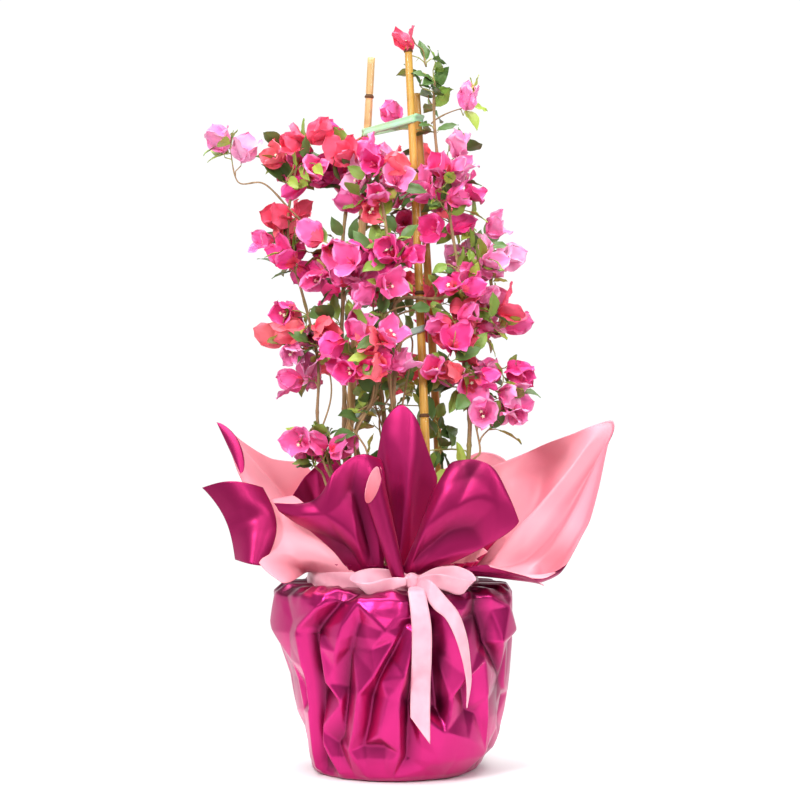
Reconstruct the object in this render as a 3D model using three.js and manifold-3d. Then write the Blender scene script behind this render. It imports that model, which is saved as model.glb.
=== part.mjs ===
// A bougainvillea trained on a tripod of bamboo canes, in a nursery pot that is gift-wrapped in
// two-tone film and tied at the neck with a satin ribbon.
//
// Millimetres, +Z up. The origin is the centre of the wrapping's flat underside, the front is -Y
// and +X is to the right. Angles round the pot are in degrees, counter-clockwise seen from above,
// so the front is at -90.

import * as THREE from "three";
import { mergeVertices } from "three/addons/utils/BufferGeometryUtils.js";
import Module from "manifold-3d";

const wasm = await Module();
wasm.setup();

// ---------------------------------------------------------------- driving dimensions

const GAP = 0.3; // clearance between pieces that touch
const FILM = 1.6; // solid thickness that stands for the film and its creases

const POT = { foot: 90.5, mouth: 124, height: 206, wall: 2.4, rim: 3.5 };
const SOIL_LEVEL = 192;

const WRAP_SECTORS = 28;
// Height, mean radius, how much further the right side stands out, and depth of the pleats.
const WRAP_PROFILE = [
  [0, 93, 0, 0],
  [3, 99, 2, 0.8],
  [28, 112, 3, 2],
  [70, 119, 5, 3],
  [115, 127.5, 4, 3.5],
  [155, 139.5, 0, 3.5],
  [185, 142, -1, 3],
  [206, 140.5, -1, 2.5],
  [217, 131, 2, 2],
  [219.5, 112, 0, 1],
  [221, 101, 0, 0],
  [244, 100, 0, 0],
];
const NECK = 100; // outer radius of the gathered film under the ribbon
const COLLAR_BASE = 245; // where the film spreads again above the ribbon

const RIBBON = { width: 23, thick: 1.2, middle: 232.5 };

// Radii, height and half-width of the ring at a node, spacing of the nodes.
const CANE = { foot: 5.6, tip: 4.4, node: 1.0, flare: 4, internode: 118, sides: 7 };
const CANES = {
  cane_front: [new THREE.Vector3(45, -64, SOIL_LEVEL), new THREE.Vector3(18, -8, 868)],
  cane_left: [new THREE.Vector3(-68, 35, SOIL_LEVEL), new THREE.Vector3(-26, 8, 854)],
  cane_right: [new THREE.Vector3(65, 45, SOIL_LEVEL), new THREE.Vector3(28, 14, 812)],
};

// ---------------------------------------------------------------- materials

const finish = (color, roughness, metalness = 0) =>
  new THREE.MeshStandardMaterial({ color, roughness, metalness });

const FINISHES = {
  pot: finish(0x3a3432, 0.6),
  soil: finish(0x3b2a1f, 0.95),
  film: finish(0xc21a78, 0.35, 0.5),
  filmInside: finish(0xf9a8ae, 0.55),
  ribbon: finish(0xf8c0cc, 0.4),
  bamboo: finish(0xe8b84f, 0.5),
  tie: finish(0x8fc77a, 0.6),
  bark: finish(0x8a6a45, 0.85),
  shoot: finish(0x7d7a3a, 0.7),
  foliage: finish(0x55803a, 0.7),
  blossom: finish(0xe8399a, 0.65),
};

// ---------------------------------------------------------------- building blocks

const plant = new THREE.Group();

function add(name, geometry, material) {
  const mesh = new THREE.Mesh(geometry, material);
  mesh.name = name;
  geometry.computeVertexNormals();
  plant.add(mesh);
}

function indexed(positions, faces) {
  return new THREE.BufferGeometry()
    .setAttribute("position", new THREE.Float32BufferAttribute(positions, 3))
    .setIndex(faces);
}

function toSolid(geometry) {
  const bare = geometry.clone();
  bare.deleteAttribute("normal");
  bare.deleteAttribute("uv");
  const merged = mergeVertices(bare, 1e-3);
  return new wasm.Manifold(
    new wasm.Mesh({
      numProp: 3,
      vertProperties: merged.attributes.position.array,
      triVerts: new Uint32Array(merged.index.array),
    }),
  );
}

function toGeometry(solid) {
  const mesh = solid.getMesh();
  return indexed(Array.from(mesh.vertProperties), Array.from(mesh.triVerts));
}

// The largest closed body of a solid that a cut has left in several.
function largest(solid) {
  return solid.decompose().sort((a, b) => b.volume() - a.volume())[0];
}

// A closed body from a grid of points: rings of equal length, joined ring to ring, with a cap at
// either end. Each ring runs counter-clockwise seen against the way that the rings advance.
function loft(rings) {
  const count = rings[0].length;
  const positions = rings.flat().flatMap((p) => [p.x, p.y, p.z]);
  const faces = [];
  for (let r = 0; r + 1 < rings.length; r++)
    for (let s = 0; s < count; s++) {
      const a = r * count + s;
      const b = r * count + ((s + 1) % count);
      faces.push(a, b, b + count, a, b + count, a + count);
    }
  const last = (rings.length - 1) * count;
  for (let s = 1; s + 1 < count; s++) {
    faces.push(0, s + 1, s);
    faces.push(last, last + s, last + s + 1);
  }
  return indexed(positions, faces);
}

// A thin sheet given by a grid of points, rows of equal length, thickened to both sides.
function thicken(rows, thickness) {
  const deep = rows.length;
  const wide = rows[0].length;
  const inside = (k, count) => THREE.MathUtils.clamp(k, 0, count - 1);
  const at = (i, j) => rows[inside(i, deep)][inside(j, wide)];
  const across = new THREE.Vector3();
  const along = new THREE.Vector3();
  const front = [];
  const back = [];
  for (let i = 0; i < deep; i++)
    for (let j = 0; j < wide; j++) {
      across.subVectors(at(i, j + 1), at(i, j - 1));
      along.subVectors(at(i + 1, j), at(i - 1, j));
      const normal = across.clone().cross(along).normalize().multiplyScalar(thickness / 2);
      front.push(rows[i][j].clone().add(normal));
      back.push(rows[i][j].clone().sub(normal));
    }
  const positions = [...front, ...back].flatMap((p) => [p.x, p.y, p.z]);
  const other = deep * wide;
  const faces = [];
  const quad = (a, b, c, d) => faces.push(a, b, c, a, c, d);
  for (let i = 0; i + 1 < deep; i++)
    for (let j = 0; j + 1 < wide; j++) {
      const a = i * wide + j;
      quad(a, a + 1, a + wide + 1, a + wide);
      quad(other + a, other + a + wide, other + a + wide + 1, other + a + 1);
    }
  const rim = [];
  for (let j = 0; j < wide; j++) rim.push(j);
  for (let i = 1; i < deep; i++) rim.push(i * wide + wide - 1);
  for (let j = wide - 2; j >= 0; j--) rim.push((deep - 1) * wide + j);
  for (let i = deep - 2; i > 0; i--) rim.push(i * wide);
  rim.forEach((a, k) => {
    const b = rim[(k + 1) % rim.length];
    quad(a, other + a, other + b, b);
  });
  return indexed(positions, faces);
}

// A closed profile of [radius, height] pairs, turned about the vertical axis.
function turned(profile) {
  const points = profile.map(([r, z]) => new THREE.Vector2(r, z));
  return new THREE.LatheGeometry(points, WRAP_SECTORS).rotateX(Math.PI / 2);
}

const polar = (degrees, radius, z) => {
  const angle = THREE.MathUtils.degToRad(degrees);
  return new THREE.Vector3(radius * Math.cos(angle), radius * Math.sin(angle), z);
};

// ---------------------------------------------------------------- pot and soil

// Plain tapered nursery pot, a closed profile turned about the axis, with a thickened rim.
function pot() {
  const { foot, mouth, height, wall, rim } = POT;
  const floor = FILM + GAP;
  return turned([
    [0, floor],
    [foot, floor],
    [mouth - rim, height - 14],
    [mouth, height - 14],
    [mouth + 0.6, height],
    [mouth - wall, height],
    [foot - wall, floor + wall],
    [0, floor + wall],
  ]);
}

// Compost, slightly domed, filling the pot to just under its rim.
function soil() {
  const { foot, mouth, height, wall } = POT;
  const floor = FILM + wall + 2 * GAP;
  const inside = (z) => foot - wall + ((mouth - foot) * (z - floor)) / height - 2 * GAP - 1;
  return turned([
    [0, floor],
    [inside(floor), floor],
    [inside(SOIL_LEVEL - 6), SOIL_LEVEL - 6],
    [70, SOIL_LEVEL - GAP],
    [0, SOIL_LEVEL - GAP],
  ]);
}

add("pot", pot(), FINISHES.pot);
add("soil", soil(), FINISHES.soil);

// ---------------------------------------------------------------- wrapped film

// Radius of the film round the pot. Three waves of unlike count make the pleats uneven.
function wrapRadius(degrees, [, radius, right, pleat]) {
  const a = THREE.MathUtils.degToRad(degrees);
  const waves = Math.sin(7 * a + 0.6) + 0.6 * Math.sin(11 * a + 2.1) + 0.5 * Math.sin(17 * a);
  return radius + right * Math.cos(a) + pleat * waves * 0.6;
}

// The film under and round the pot, drawn in over its rim to the neck: a cup open at the top.
function wrapBody() {
  const ring = (row, inset, lift = 0) =>
    Array.from({ length: WRAP_SECTORS }, (_, s) => {
      const degrees = (360 / WRAP_SECTORS) * s;
      return polar(degrees, wrapRadius(degrees, row) - inset, row[0] + lift);
    });
  const outside = WRAP_PROFILE.map((row) => ring(row, 0));
  const isShoulder = (row) => row[0] > POT.height && row[0] < RIBBON.middle;
  const inside = WRAP_PROFILE.slice(2)
    .reverse()
    .map((row) => ring(row, FILM, isShoulder(row) ? -0.8 * FILM : 0));
  const floor = ring(WRAP_PROFILE[0], 0, FILM);
  return loft([...outside, ...inside, floor]);
}

// A petal of the collar runs from its foot, an arc on the neck, to its outer edge, which goes from
// one corner over a point to the other corner. Each line of it leaves the foot along `rise` and
// reaches the edge along `fall`, and `belly` pushes the middle out. `blunt` rounds the point off.
function petal({ foot, edge, rise, fall, belly = [0, 0, 0], blunt = 0, wide = 5, deep = 4 }) {
  const [from, to, radius] = foot;
  const [start, point, end] = edge.map((p) => new THREE.Vector3(...p));
  const middle = point.clone().multiplyScalar(2).sub(start.clone().add(end).multiplyScalar(0.5));
  const bulge = new THREE.Vector3(...belly);
  const leave = new THREE.Vector3(0, 0, rise[1]);
  const arrive = new THREE.Vector3(...fall);
  const rows = [];
  for (let i = 0; i <= deep; i++) {
    const v = i / deep;
    const row = [];
    for (let j = 0; j <= wide; j++) {
      const u = j / wide;
      const base = polar(THREE.MathUtils.lerp(from, to, u), radius, COLLAR_BASE);
      const sharp = u < 0.5 ? start.clone().lerp(point, 2 * u) : point.clone().lerp(end, 2 * u - 1);
      const round = new THREE.QuadraticBezierCurve3(start, middle, end).getPoint(u);
      const brim = sharp.lerp(round, blunt);
      const out = base.clone().setZ(0).normalize().multiplyScalar(rise[0]).add(leave);
      const p = base.multiplyScalar(2 * v ** 3 - 3 * v ** 2 + 1);
      p.addScaledVector(out, v ** 3 - 2 * v ** 2 + v);
      p.addScaledVector(brim, -2 * v ** 3 + 3 * v ** 2);
      p.addScaledVector(arrive, v ** 3 - v ** 2);
      p.addScaledVector(bulge, 4 * u * (1 - u) * Math.sin(Math.PI * v * 0.85));
      row.push(p);
    }
    rows.push(row);
  }
  return thicken(rows, FILM);
}

// foot: first and last angle and radius; edge: corner, point, corner; rise: outward and upward.
const PETALS = {
  petal_back_left: {
    foot: [128, 172, 94],
    edge: [[-112, 88, 366], [-214, 52, 418], [-176, 4, 334]],
    rise: [20, 110],
    fall: [-60, 0, 50],
    belly: [6, 8, -14],
  },
  petal_left_tongue: {
    foot: [178, 230, 98],
    edge: [[-176, -22, 292], [-166, -72, 252], [-80, -124, 246]],
    rise: [30, 20],
    fall: [-50, -20, -20],
    belly: [-6, -4, 10],
    blunt: 0.4,
  },
  petal_left_inner: {
    foot: [132, 165, 86],
    edge: [[-66, 84, 372], [-100, 72, 352], [-128, 40, 318]],
    rise: [4, 70],
    fall: [-10, 6, 40],
    blunt: 0.5,
  },
  petal_front_left: {
    foot: [-126, -98, 96],
    edge: [[-134, -88, 322], [-80, -112, 352], [-16, -92, 374]],
    rise: [24, 70],
    fall: [-20, 10, 36],
    belly: [0, -10, 0],
    blunt: 0.5,
  },
  petal_front_roll: {
    foot: [-96, -90, 97],
    edge: [[-37, -131, 344], [-26, -126, 368], [-15, -122, 372]],
    rise: [18, 60],
    fall: [-14, 4, 60],
    blunt: 0.3,
    wide: 4,
  },
  petal_front_tall: {
    foot: [-94, -80, 90],
    edge: [[-22, -78, 356], [9, -88, 434], [52, -78, 352]],
    rise: [0, 100],
    fall: [0, -6, 90],
    belly: [0, -9, 0],
    blunt: 0.35,
  },
  petal_front_right: {
    foot: [-85, -70, 97],
    edge: [[50, -112, 348], [98, -132, 392], [142, -130, 304]],
    rise: [30, 40],
    fall: [20, 0, 60],
    belly: [0, -12, 0],
    blunt: 0.5,
  },
  petal_right: {
    foot: [-42, 44, 97],
    edge: [[186, -66, 232], [259, 10, 425], [123, 82, 362]],
    rise: [40, 40],
    fall: [70, 0, 60],
    belly: [10, 10, -16],
  },
  petal_right_under: {
    foot: [-60, -44, 99],
    edge: [[112, -108, 250], [150, -106, 234], [176, -74, 226]],
    rise: [24, 12],
    fall: [24, 0, -20],
    blunt: 0.5,
  },
  petal_right_back: {
    foot: [48, 84, 96],
    edge: [[150, 112, 350], [120, 178, 372], [44, 160, 348]],
    rise: [30, 70],
    fall: [20, 40, 50],
    belly: [0, 8, -8],
    blunt: 0.4,
  },
  petal_back: {
    foot: [86, 124, 95],
    edge: [[36, 158, 336], [-34, 188, 366], [-92, 152, 340]],
    rise: [36, 60],
    fall: [0, 50, 40],
    belly: [0, 10, -8],
    blunt: 0.5,
  },
};

// Corner of the film that curls over into a cone beside the left tongue. Its free edge runs down
// from the tip, its mouth runs down beside it, and the film bulges forwards from one to the other.
const CONE = {
  tip: new THREE.Vector3(-224, -58, 339),
  heel: new THREE.Vector3(-184, -74, 258),
  mouthTop: new THREE.Vector3(-152, -48, 338),
  mouthFoot: new THREE.Vector3(-152, -74, 252),
  curve: { edge: 10, mouth: 14, front: 26 },
  steps: 6,
};

function cone() {
  const { tip, heel, mouthTop, mouthFoot, curve, steps } = CONE;
  const rows = [];
  for (let i = 0; i <= steps; i++) {
    const v = 1 - i / steps;
    const bend = Math.sin(Math.PI * v);
    const edge = tip.clone().lerp(heel, v ** 1.2);
    const mouth = mouthTop.clone().lerp(mouthFoot, v);
    edge.x += curve.edge * bend;
    mouth.x += curve.mouth * bend;
    const row = [];
    for (let j = 0; j <= steps; j++) {
      const u = j / steps;
      const p = edge.clone().lerp(mouth, u);
      p.y -= curve.front * Math.sin(Math.PI * u * 0.75);
      row.push(p);
    }
    rows.push(row);
  }
  return thicken(rows, FILM);
}

add("wrap_body", wrapBody(), FINISHES.film);
for (const [name, shape] of Object.entries(PETALS))
  add(name, petal(shape), name.includes("tongue") ? FINISHES.filmInside : FINISHES.film);
add("petal_left_cone", cone(), FINISHES.film);

// ---------------------------------------------------------------- ribbon and bow

// A point in front of the film, at a given place across and height, clear of the film.
function beforeWrap(x, z, clear) {
  const upper = WRAP_PROFILE.findIndex((row) => row[0] >= z);
  const [low, high] = [WRAP_PROFILE[upper - 1], WRAP_PROFILE[upper]];
  const share = (z - low[0]) / (high[0] - low[0]);
  const row = low.map((value, k) => THREE.MathUtils.lerp(value, high[k], share));
  const radius = wrapRadius(-THREE.MathUtils.radToDeg(Math.acos(x / row[1])), row) + clear;
  return new THREE.Vector3(x, -Math.sqrt(radius ** 2 - x ** 2), z);
}

// A ribbon along a smooth path; each stop gives its middle, the direction and size of its width.
function ribbon(stops, steps) {
  const middle = new THREE.CatmullRomCurve3(stops.map(([p]) => p));
  const widths = new THREE.CatmullRomCurve3(stops.map(([, w]) => w));
  const rows = [];
  for (let i = 0; i <= steps; i++) {
    const centre = middle.getPoint(i / steps);
    const half = widths.getPoint(i / steps).multiplyScalar(0.5);
    rows.push([centre.clone().sub(half), centre.clone().add(half)]);
  }
  return thicken(rows, RIBBON.thick);
}

// Band tied round the neck of the film.
function ribbonBand() {
  const [low, high] = [RIBBON.middle - RIBBON.width / 2, RIBBON.middle + RIBBON.width / 2];
  const inner = NECK + 1.2;
  const outer = inner + RIBBON.thick;
  return turned([[inner, low], [outer, low], [outer, high], [inner, high], [inner, low]]);
}

const KNOT = new THREE.Vector3(13, -(NECK + 9.5), RIBBON.middle + 1);

// Round bow loop of upright ribbon, out from the knot to `reach` and back.
function bowLoop(reach, droop) {
  const side = Math.sign(reach);
  const up = (lean, size) => new THREE.Vector3(lean, 0, size);
  const at = (x, y, z) => new THREE.Vector3(KNOT.x + x, KNOT.y + y, KNOT.z + z);
  return ribbon(
    [
      [at(side * 10.5, 3, 0), up(0, 11)],
      [at(reach * 0.55, 1, -droop * 0.5), up(3 * side, 19)],
      [at(reach * 0.95, -6, -droop), up(6 * side, 21)],
      [at(reach * 0.9, -14, -droop), up(6 * side, 20)],
      [at(reach * 0.45, -13, -droop * 0.3), up(3 * side, 17)],
      [at(side * 9, -8.5, 0), up(0, 10)],
    ],
    14,
  );
}

// Tail that hangs straight down before the film, cut slantwise.
function frontTail() {
  const width = (slant = 0) => new THREE.Vector3(RIBBON.width - 1, 0, slant);
  return ribbon(
    [
      [new THREE.Vector3(31, -(NECK + 12), 225), width()],
      [beforeWrap(31, 212, 7), width()],
      [beforeWrap(32, 190, 6), width()],
      [beforeWrap(32, 130, 9), width()],
      [beforeWrap(32, 62, 9), width(-31)],
    ],
    12,
  );
}

// Second tail, which curves off to the right and ends in a point.
function sideTail() {
  const width = (x, z) => new THREE.Vector3(x, 0, z);
  const clear = 9;
  return ribbon(
    [
      [beforeWrap(50, 213, clear), width(13, 8)],
      [beforeWrap(67, 203, clear), width(15, 8)],
      [beforeWrap(81, 180, clear), width(13, 3)],
      [beforeWrap(91, 146, clear), width(11, 1)],
      [beforeWrap(93, 116, clear), width(8, 0)],
      [beforeWrap(88, 88, clear), width(1.5, 0)],
    ],
    12,
  );
}

const knot = new THREE.SphereGeometry(1, 10, 8).scale(10, 6.2, 9.5).translate(...KNOT);

add("ribbon_band", ribbonBand(), FINISHES.ribbon);
add("ribbon_knot", knot, FINISHES.ribbon);
add("ribbon_loop_left", bowLoop(-50, 3), FINISHES.ribbon);
add("ribbon_loop_right", bowLoop(58, -2), FINISHES.ribbon);
add("ribbon_tail_front", frontTail(), FINISHES.ribbon);
add("ribbon_tail_side", sideTail(), FINISHES.ribbon);

// ---------------------------------------------------------------- canes and ties

// A round rod on a path: `radii` gives its radius at each of the path's points.
function rod(points, radii, sides) {
  const start = points[0];
  const rings = points.map((p, i) => {
    const next = points[Math.min(i + 1, points.length - 1)];
    const before = points[Math.max(i - 1, 0)];
    const along = next.clone().sub(before).normalize();
    if (i === 0 && start.z < SOIL_LEVEL + 2) along.set(0, 0, 1); // flat cut at the soil
    const side = new THREE.Vector3(0, 1, 0).cross(along).normalize();
    const other = along.clone().cross(side);
    return Array.from({ length: sides }, (_, s) => {
      const angle = (2 * Math.PI * s) / sides;
      return p
        .clone()
        .addScaledVector(side, radii[i] * Math.cos(angle))
        .addScaledVector(other, radii[i] * Math.sin(angle));
    });
  });
  return loft(rings);
}

// Bamboo cane: a slow taper with a raised ring at every node. The nodes stand a little further
// apart towards the tip.
function cane([foot, tip]) {
  const { node, flare, internode, sides } = CANE;
  const length = foot.distanceTo(tip);
  const stops = [[0, 0]];
  for (let d = internode * 0.45; d < length - 12; d += internode * (1 + (0.12 * d) / length))
    stops.push([d - flare, 0], [d, node], [d + flare, 0]);
  stops.push([length, 0]);
  const points = stops.map(([d]) => foot.clone().lerp(tip, d / length));
  const taper = (d) => THREE.MathUtils.lerp(CANE.foot, CANE.tip, d / length);
  const radii = stops.map(([d, ring]) => taper(d) + ring);
  return rod(points, radii, sides);
}

const caneAt = ([foot, tip], z) => foot.clone().lerp(tip, (z - foot.z) / (tip.z - foot.z));

const TIE = { z: 770, height: 11, thick: 1, clear: 2.8, corners: 16 };

// A tie is a flat loop pulled tight round upright rods: the outline round their circles.
function tie(centres) {
  const outline = (reach) =>
    Array.from({ length: TIE.corners }, (_, s) => {
      const angle = (2 * Math.PI * s) / TIE.corners;
      const way = new THREE.Vector3(Math.cos(angle), Math.sin(angle), 0);
      const [furthest] = centres.toSorted((a, b) => b.dot(way) - a.dot(way));
      return new THREE.Vector2(furthest.x + reach * way.x, furthest.y + reach * way.y);
    });
  const inner = CANE.tip + TIE.clear;
  const band = new THREE.Shape(outline(inner + TIE.thick));
  band.holes.push(new THREE.Path(outline(inner)));
  const settings = { depth: TIE.height, bevelEnabled: false };
  return new THREE.ExtrudeGeometry(band, settings).translate(0, 0, TIE.z - TIE.height / 2);
}

for (const [name, ends] of Object.entries(CANES)) add(name, cane(ends), FINISHES.bamboo);
const tied = Object.values(CANES).map((ends) => caneAt(ends, TIE.z));
add("tie_top", tie(tied), FINISHES.tie);

// ---------------------------------------------------------------- foliage masses

// Repeatable random numbers from 0 to 1.
function seeded(seed) {
  let state = seed;
  return () => {
    state = (state * 16807) % 2147483647;
    return state / 2147483647;
  };
}

// Middle and half-sizes of each mass, from the top of the bush down.
const MASSES = {
  mass_crest: [[17, -4, 883], [19, 18, 19]],
  mass_top_column: [[47, 6, 816], [17, 18, 54]],
  mass_top_right: [[91, -10, 795], [19, 17, 20]],
  mass_right_sprig: [[78, 14, 740], [20, 18, 21]],
  mass_left_sprig: [[-196, -10, 746], [27, 21, 24]],
  mass_upper_left: [[-112, -14, 722], [40, 36, 42]],
  mass_crown_left: [[-52, -6, 714], [38, 40, 46]],
  mass_crown_front: [[-16, -50, 694], [34, 30, 54]],
  mass_crown_right: [[62, -16, 684], [42, 42, 52]],
  mass_crown_back: [[14, 58, 690], [60, 38, 62]],
  mass_right_shoulder: [[104, 6, 614], [42, 40, 40]],
  mass_left_middle: [[-124, -4, 630], [45, 38, 40]],
  mass_centre_left: [[-58, -30, 610], [46, 42, 52]],
  mass_front_upper: [[-4, -70, 602], [32, 30, 50]],
  mass_right_inner: [[72, -46, 566], [36, 36, 50]],
  mass_back_middle: [[6, 78, 578], [84, 42, 58]],
  mass_right_middle: [[114, 0, 540], [41, 40, 42]],
  mass_left_lower: [[-102, -6, 514], [52, 40, 66]],
  mass_front_lower: [[-26, -62, 506], [54, 38, 52]],
  mass_right_lower: [[76, -40, 478], [38, 38, 42]],
  mass_right_fringe: [[128, -8, 446], [33, 33, 52]],
  mass_back_lower: [[6, 82, 470], [82, 40, 50]],
  mass_low_left: [[-92, -24, 394], [35, 28, 32]],
};

// Small outer masses that are nearly all blossom. The others are leaves and blossom together.
const BLOSSOM = ["mass_crest", "mass_top_right", "mass_right_sprig", "mass_left_sprig"];

const WIDE_MASS = 45; // half-size above which a mass gets the finer ball

// Uneven closed solid: a ball whose points are pulled in by unlike amounts.
function tuft([middle, half], seed) {
  const detail = Math.max(...half) > WIDE_MASS ? 2 : 1;
  const ball = new THREE.IcosahedronGeometry(1, detail);
  ball.deleteAttribute("normal");
  ball.deleteAttribute("uv");
  const merged = mergeVertices(ball, 1e-4);
  const random = seeded(seed);
  const places = merged.attributes.position;
  const p = new THREE.Vector3();
  for (let i = 0; i < places.count; i++) {
    p.fromBufferAttribute(places, i).multiplyScalar(0.86 + 0.2 * random());
    places.setXYZ(i, ...p.multiply(new THREE.Vector3(...half)).add(new THREE.Vector3(...middle)));
  }
  return merged;
}

// The same solid a little larger all round, to cut its neighbours clear of it.
function grown(geometry, [middle, half]) {
  const rate = 1 + (2.5 * GAP) / Math.min(...half);
  const shift = middle.map((value) => value * (1 - rate));
  return toSolid(geometry.clone().scale(rate, rate, rate).translate(...shift));
}

// Room left for the canes, a little past their tips, and for the tie.
const ROOM = { cane: 2, sides: 8, tieRadius: 46, tieHeight: 16 };
const clearances = Object.values(CANES).map(([foot, tip]) => {
  const radii = [CANE.foot + ROOM.cane, CANE.tip + ROOM.cane];
  return toSolid(rod([foot, tip.clone().lerp(foot, -0.02)], radii, ROOM.sides));
});
const tieRoom = new THREE.CylinderGeometry(ROOM.tieRadius, ROOM.tieRadius, ROOM.tieHeight, 12);
clearances.push(toSolid(tieRoom.rotateX(Math.PI / 2).translate(4, 2, TIE.z)));

const tufts = [];
Object.entries(MASSES).forEach(([name, mass], k) => {
  let solid = toSolid(tuft(mass, 7919 * (k + 3)));
  for (const room of [...clearances, ...tufts]) solid = solid.subtract(room);
  const geometry = toGeometry(largest(solid));
  tufts.push(grown(geometry, mass));
  add(name, geometry, BLOSSOM.includes(name) ? FINISHES.blossom : FINISHES.foliage);
});

// ---------------------------------------------------------------- trunk, stems and boughs

// Short trunk, flared at the soil, up to where the stems part.
const TRUNK = {
  stops: [[0, 2, SOIL_LEVEL + GAP], [1, 3, 204], [-1, 4, 222]],
  radii: [15, 11.5, 10.5],
  sides: 10,
};

// The points that each limb passes, and its radius at the foot and at the end.
const LIMBS = {
  stem_left: {
    stops: [[-16, 5, 226], [-34, 4, 280], [-50, 0, 336], [-60, 2, 396], [-62, 8, 500]],
    radii: [6.5, 4],
  },
  stem_left_outer: {
    stops: [[-12, -8, 225], [-40, -17, 290], [-72, -18, 350], [-88, -16, 408], [-92, -12, 500]],
    radii: [4.2, 2.6],
  },
  stem_centre: {
    stops: [[-1, -13, 227], [-24, -25, 320], [-42, -26, 404], [-15, -31, 462], [-18, -30, 520]],
    radii: [4.5, 3],
  },
  stem_front: {
    stops: [[10, -8, 226], [8, -25, 330], [1, -32, 430], [6, -36, 517], [8, -38, 560]],
    radii: [5, 3.4],
  },
  stem_right: {
    stops: [[15, 5, 225], [48, -8, 296], [82, -14, 352], [93, -14, 408], [84, -14, 500]],
    radii: [5.6, 3.6],
  },
  stem_back: {
    stops: [[0, 20, 226], [-4, 44, 300], [-8, 62, 390], [-16, 70, 480]],
    radii: [5.4, 3.6],
  },
  bough_left_sprig: {
    stops: [[-104, -12, 650], [-124, -12, 668], [-154, -12, 700], [-184, -11, 704], [-194, -10, 740]],
    radii: [2.4, 1.4],
  },
  bough_low_left: { stops: [[-70, -24, 344], [-80, -28, 364], [-90, -26, 384]], radii: [2.4, 1.6] },
  bough_crest: { stops: [[44, 2, 850], [34, -2, 864], [22, -4, 876]], radii: [1.9, 1.4] },
  bough_top_right: { stops: [[52, 2, 784], [68, -4, 786], [84, -9, 792]], radii: [1.9, 1.4] },
  bough_right_sprig: { stops: [[58, 2, 712], [66, 8, 722], [76, 13, 734]], radii: [1.9, 1.4] },
};
const LIMB_STEPS = 8;
const LIMB_SIDES = 6;

const vectors = (stops) => stops.map((p) => new THREE.Vector3(...p));

function limb({ stops, radii: [thick, thin] }) {
  const points = new THREE.CatmullRomCurve3(vectors(stops)).getPoints(LIMB_STEPS);
  const taper = points.map((_, i) => THREE.MathUtils.lerp(thick, thin, i / LIMB_STEPS));
  return rod(points, taper, LIMB_SIDES);
}

add("trunk", rod(vectors(TRUNK.stops), TRUNK.radii, TRUNK.sides), FINISHES.bark);
for (const [name, shape] of Object.entries(LIMBS)) {
  let solid = toSolid(limb(shape));
  for (const room of tufts) solid = solid.subtract(room);
  add(name, toGeometry(largest(solid)), name.startsWith("stem") ? FINISHES.bark : FINISHES.shoot);
}

export default plant;
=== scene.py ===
"""A bougainvillea on a tripod of bamboo canes, in a nursery pot that is gift-wrapped in two-tone
film and tied with a satin ribbon. Metres, +Z up, the front is -Y and +X is to the right. Sizes that
repeat the model's own are in millimetres and are multiplied by MM."""

import math
import random

import bpy
import numpy as np
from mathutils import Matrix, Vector
from mathutils.geometry import delaunay_2d_cdt


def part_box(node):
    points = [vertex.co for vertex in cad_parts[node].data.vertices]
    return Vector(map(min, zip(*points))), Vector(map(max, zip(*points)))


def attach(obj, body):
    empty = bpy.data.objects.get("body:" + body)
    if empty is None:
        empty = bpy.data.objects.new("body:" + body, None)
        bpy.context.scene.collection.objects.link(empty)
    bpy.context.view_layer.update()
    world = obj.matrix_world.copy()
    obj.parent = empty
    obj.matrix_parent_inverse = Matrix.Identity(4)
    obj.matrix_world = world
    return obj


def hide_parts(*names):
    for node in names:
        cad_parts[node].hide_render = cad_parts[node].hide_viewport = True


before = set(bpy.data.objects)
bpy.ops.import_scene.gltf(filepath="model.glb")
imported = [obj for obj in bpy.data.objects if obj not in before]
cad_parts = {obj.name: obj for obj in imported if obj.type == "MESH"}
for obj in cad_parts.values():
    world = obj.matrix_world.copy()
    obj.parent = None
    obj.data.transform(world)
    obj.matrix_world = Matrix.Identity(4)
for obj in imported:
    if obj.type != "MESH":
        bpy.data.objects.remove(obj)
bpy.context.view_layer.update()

MM = 0.001

# ------------------------------------------------------------------ studio
# The plant stands on a round white floor that fades into a white room. The room is dim above and
# has dim panels round its front half, so that glossy film shows both light and dark.

LENS = {"focal_mm": 97.5, "distance": 2.6, "height": 0.442, "across": 0.0084}


def srgb(code):
    """The linear colour, with alpha, of an sRGB hex value."""
    channels = [int(code[i : i + 2], 16) / 255 for i in (1, 3, 5)]
    return [c / 12.92 if c <= 0.04045 else ((c + 0.055) / 1.055) ** 2.4 for c in channels] + [1.0]


def add_node(tree, kind, inputs, **settings):
    """Adds a node to a tree. `inputs` gives each socket a value, or another node's output."""
    made = tree.nodes.new("ShaderNode" + kind)
    for name, value in settings.items():
        setattr(made, name, value)
    for name, value in inputs.items():
        if isinstance(value, bpy.types.NodeSocket):
            tree.links.new(value, made.inputs[name])
        else:
            made.inputs[name].default_value = value
    return made


def new_material(name, constants):
    """A material with those constants on its Principled shader, its node tree and the shader."""
    material = bpy.data.materials.new(name)
    material.use_nodes = True
    shader = material.node_tree.nodes["Principled BSDF"]
    for socket, value in constants.items():
        shader.inputs[socket].default_value = value
    return material, material.node_tree, shader


def in_scene(name, data):
    """An object with that data, in the scene."""
    made = bpy.data.objects.new(name, data)
    bpy.context.scene.collection.objects.link(made)
    return made


camera = in_scene("camera", bpy.data.cameras.new("camera"))
camera.location = (LENS["across"], -LENS["distance"], LENS["height"])
camera.rotation_euler = (math.pi / 2, 0, 0)
camera.data.lens = LENS["focal_mm"]
bpy.context.scene.camera = camera
bpy.context.scene.view_settings.view_transform = "Standard"

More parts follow.
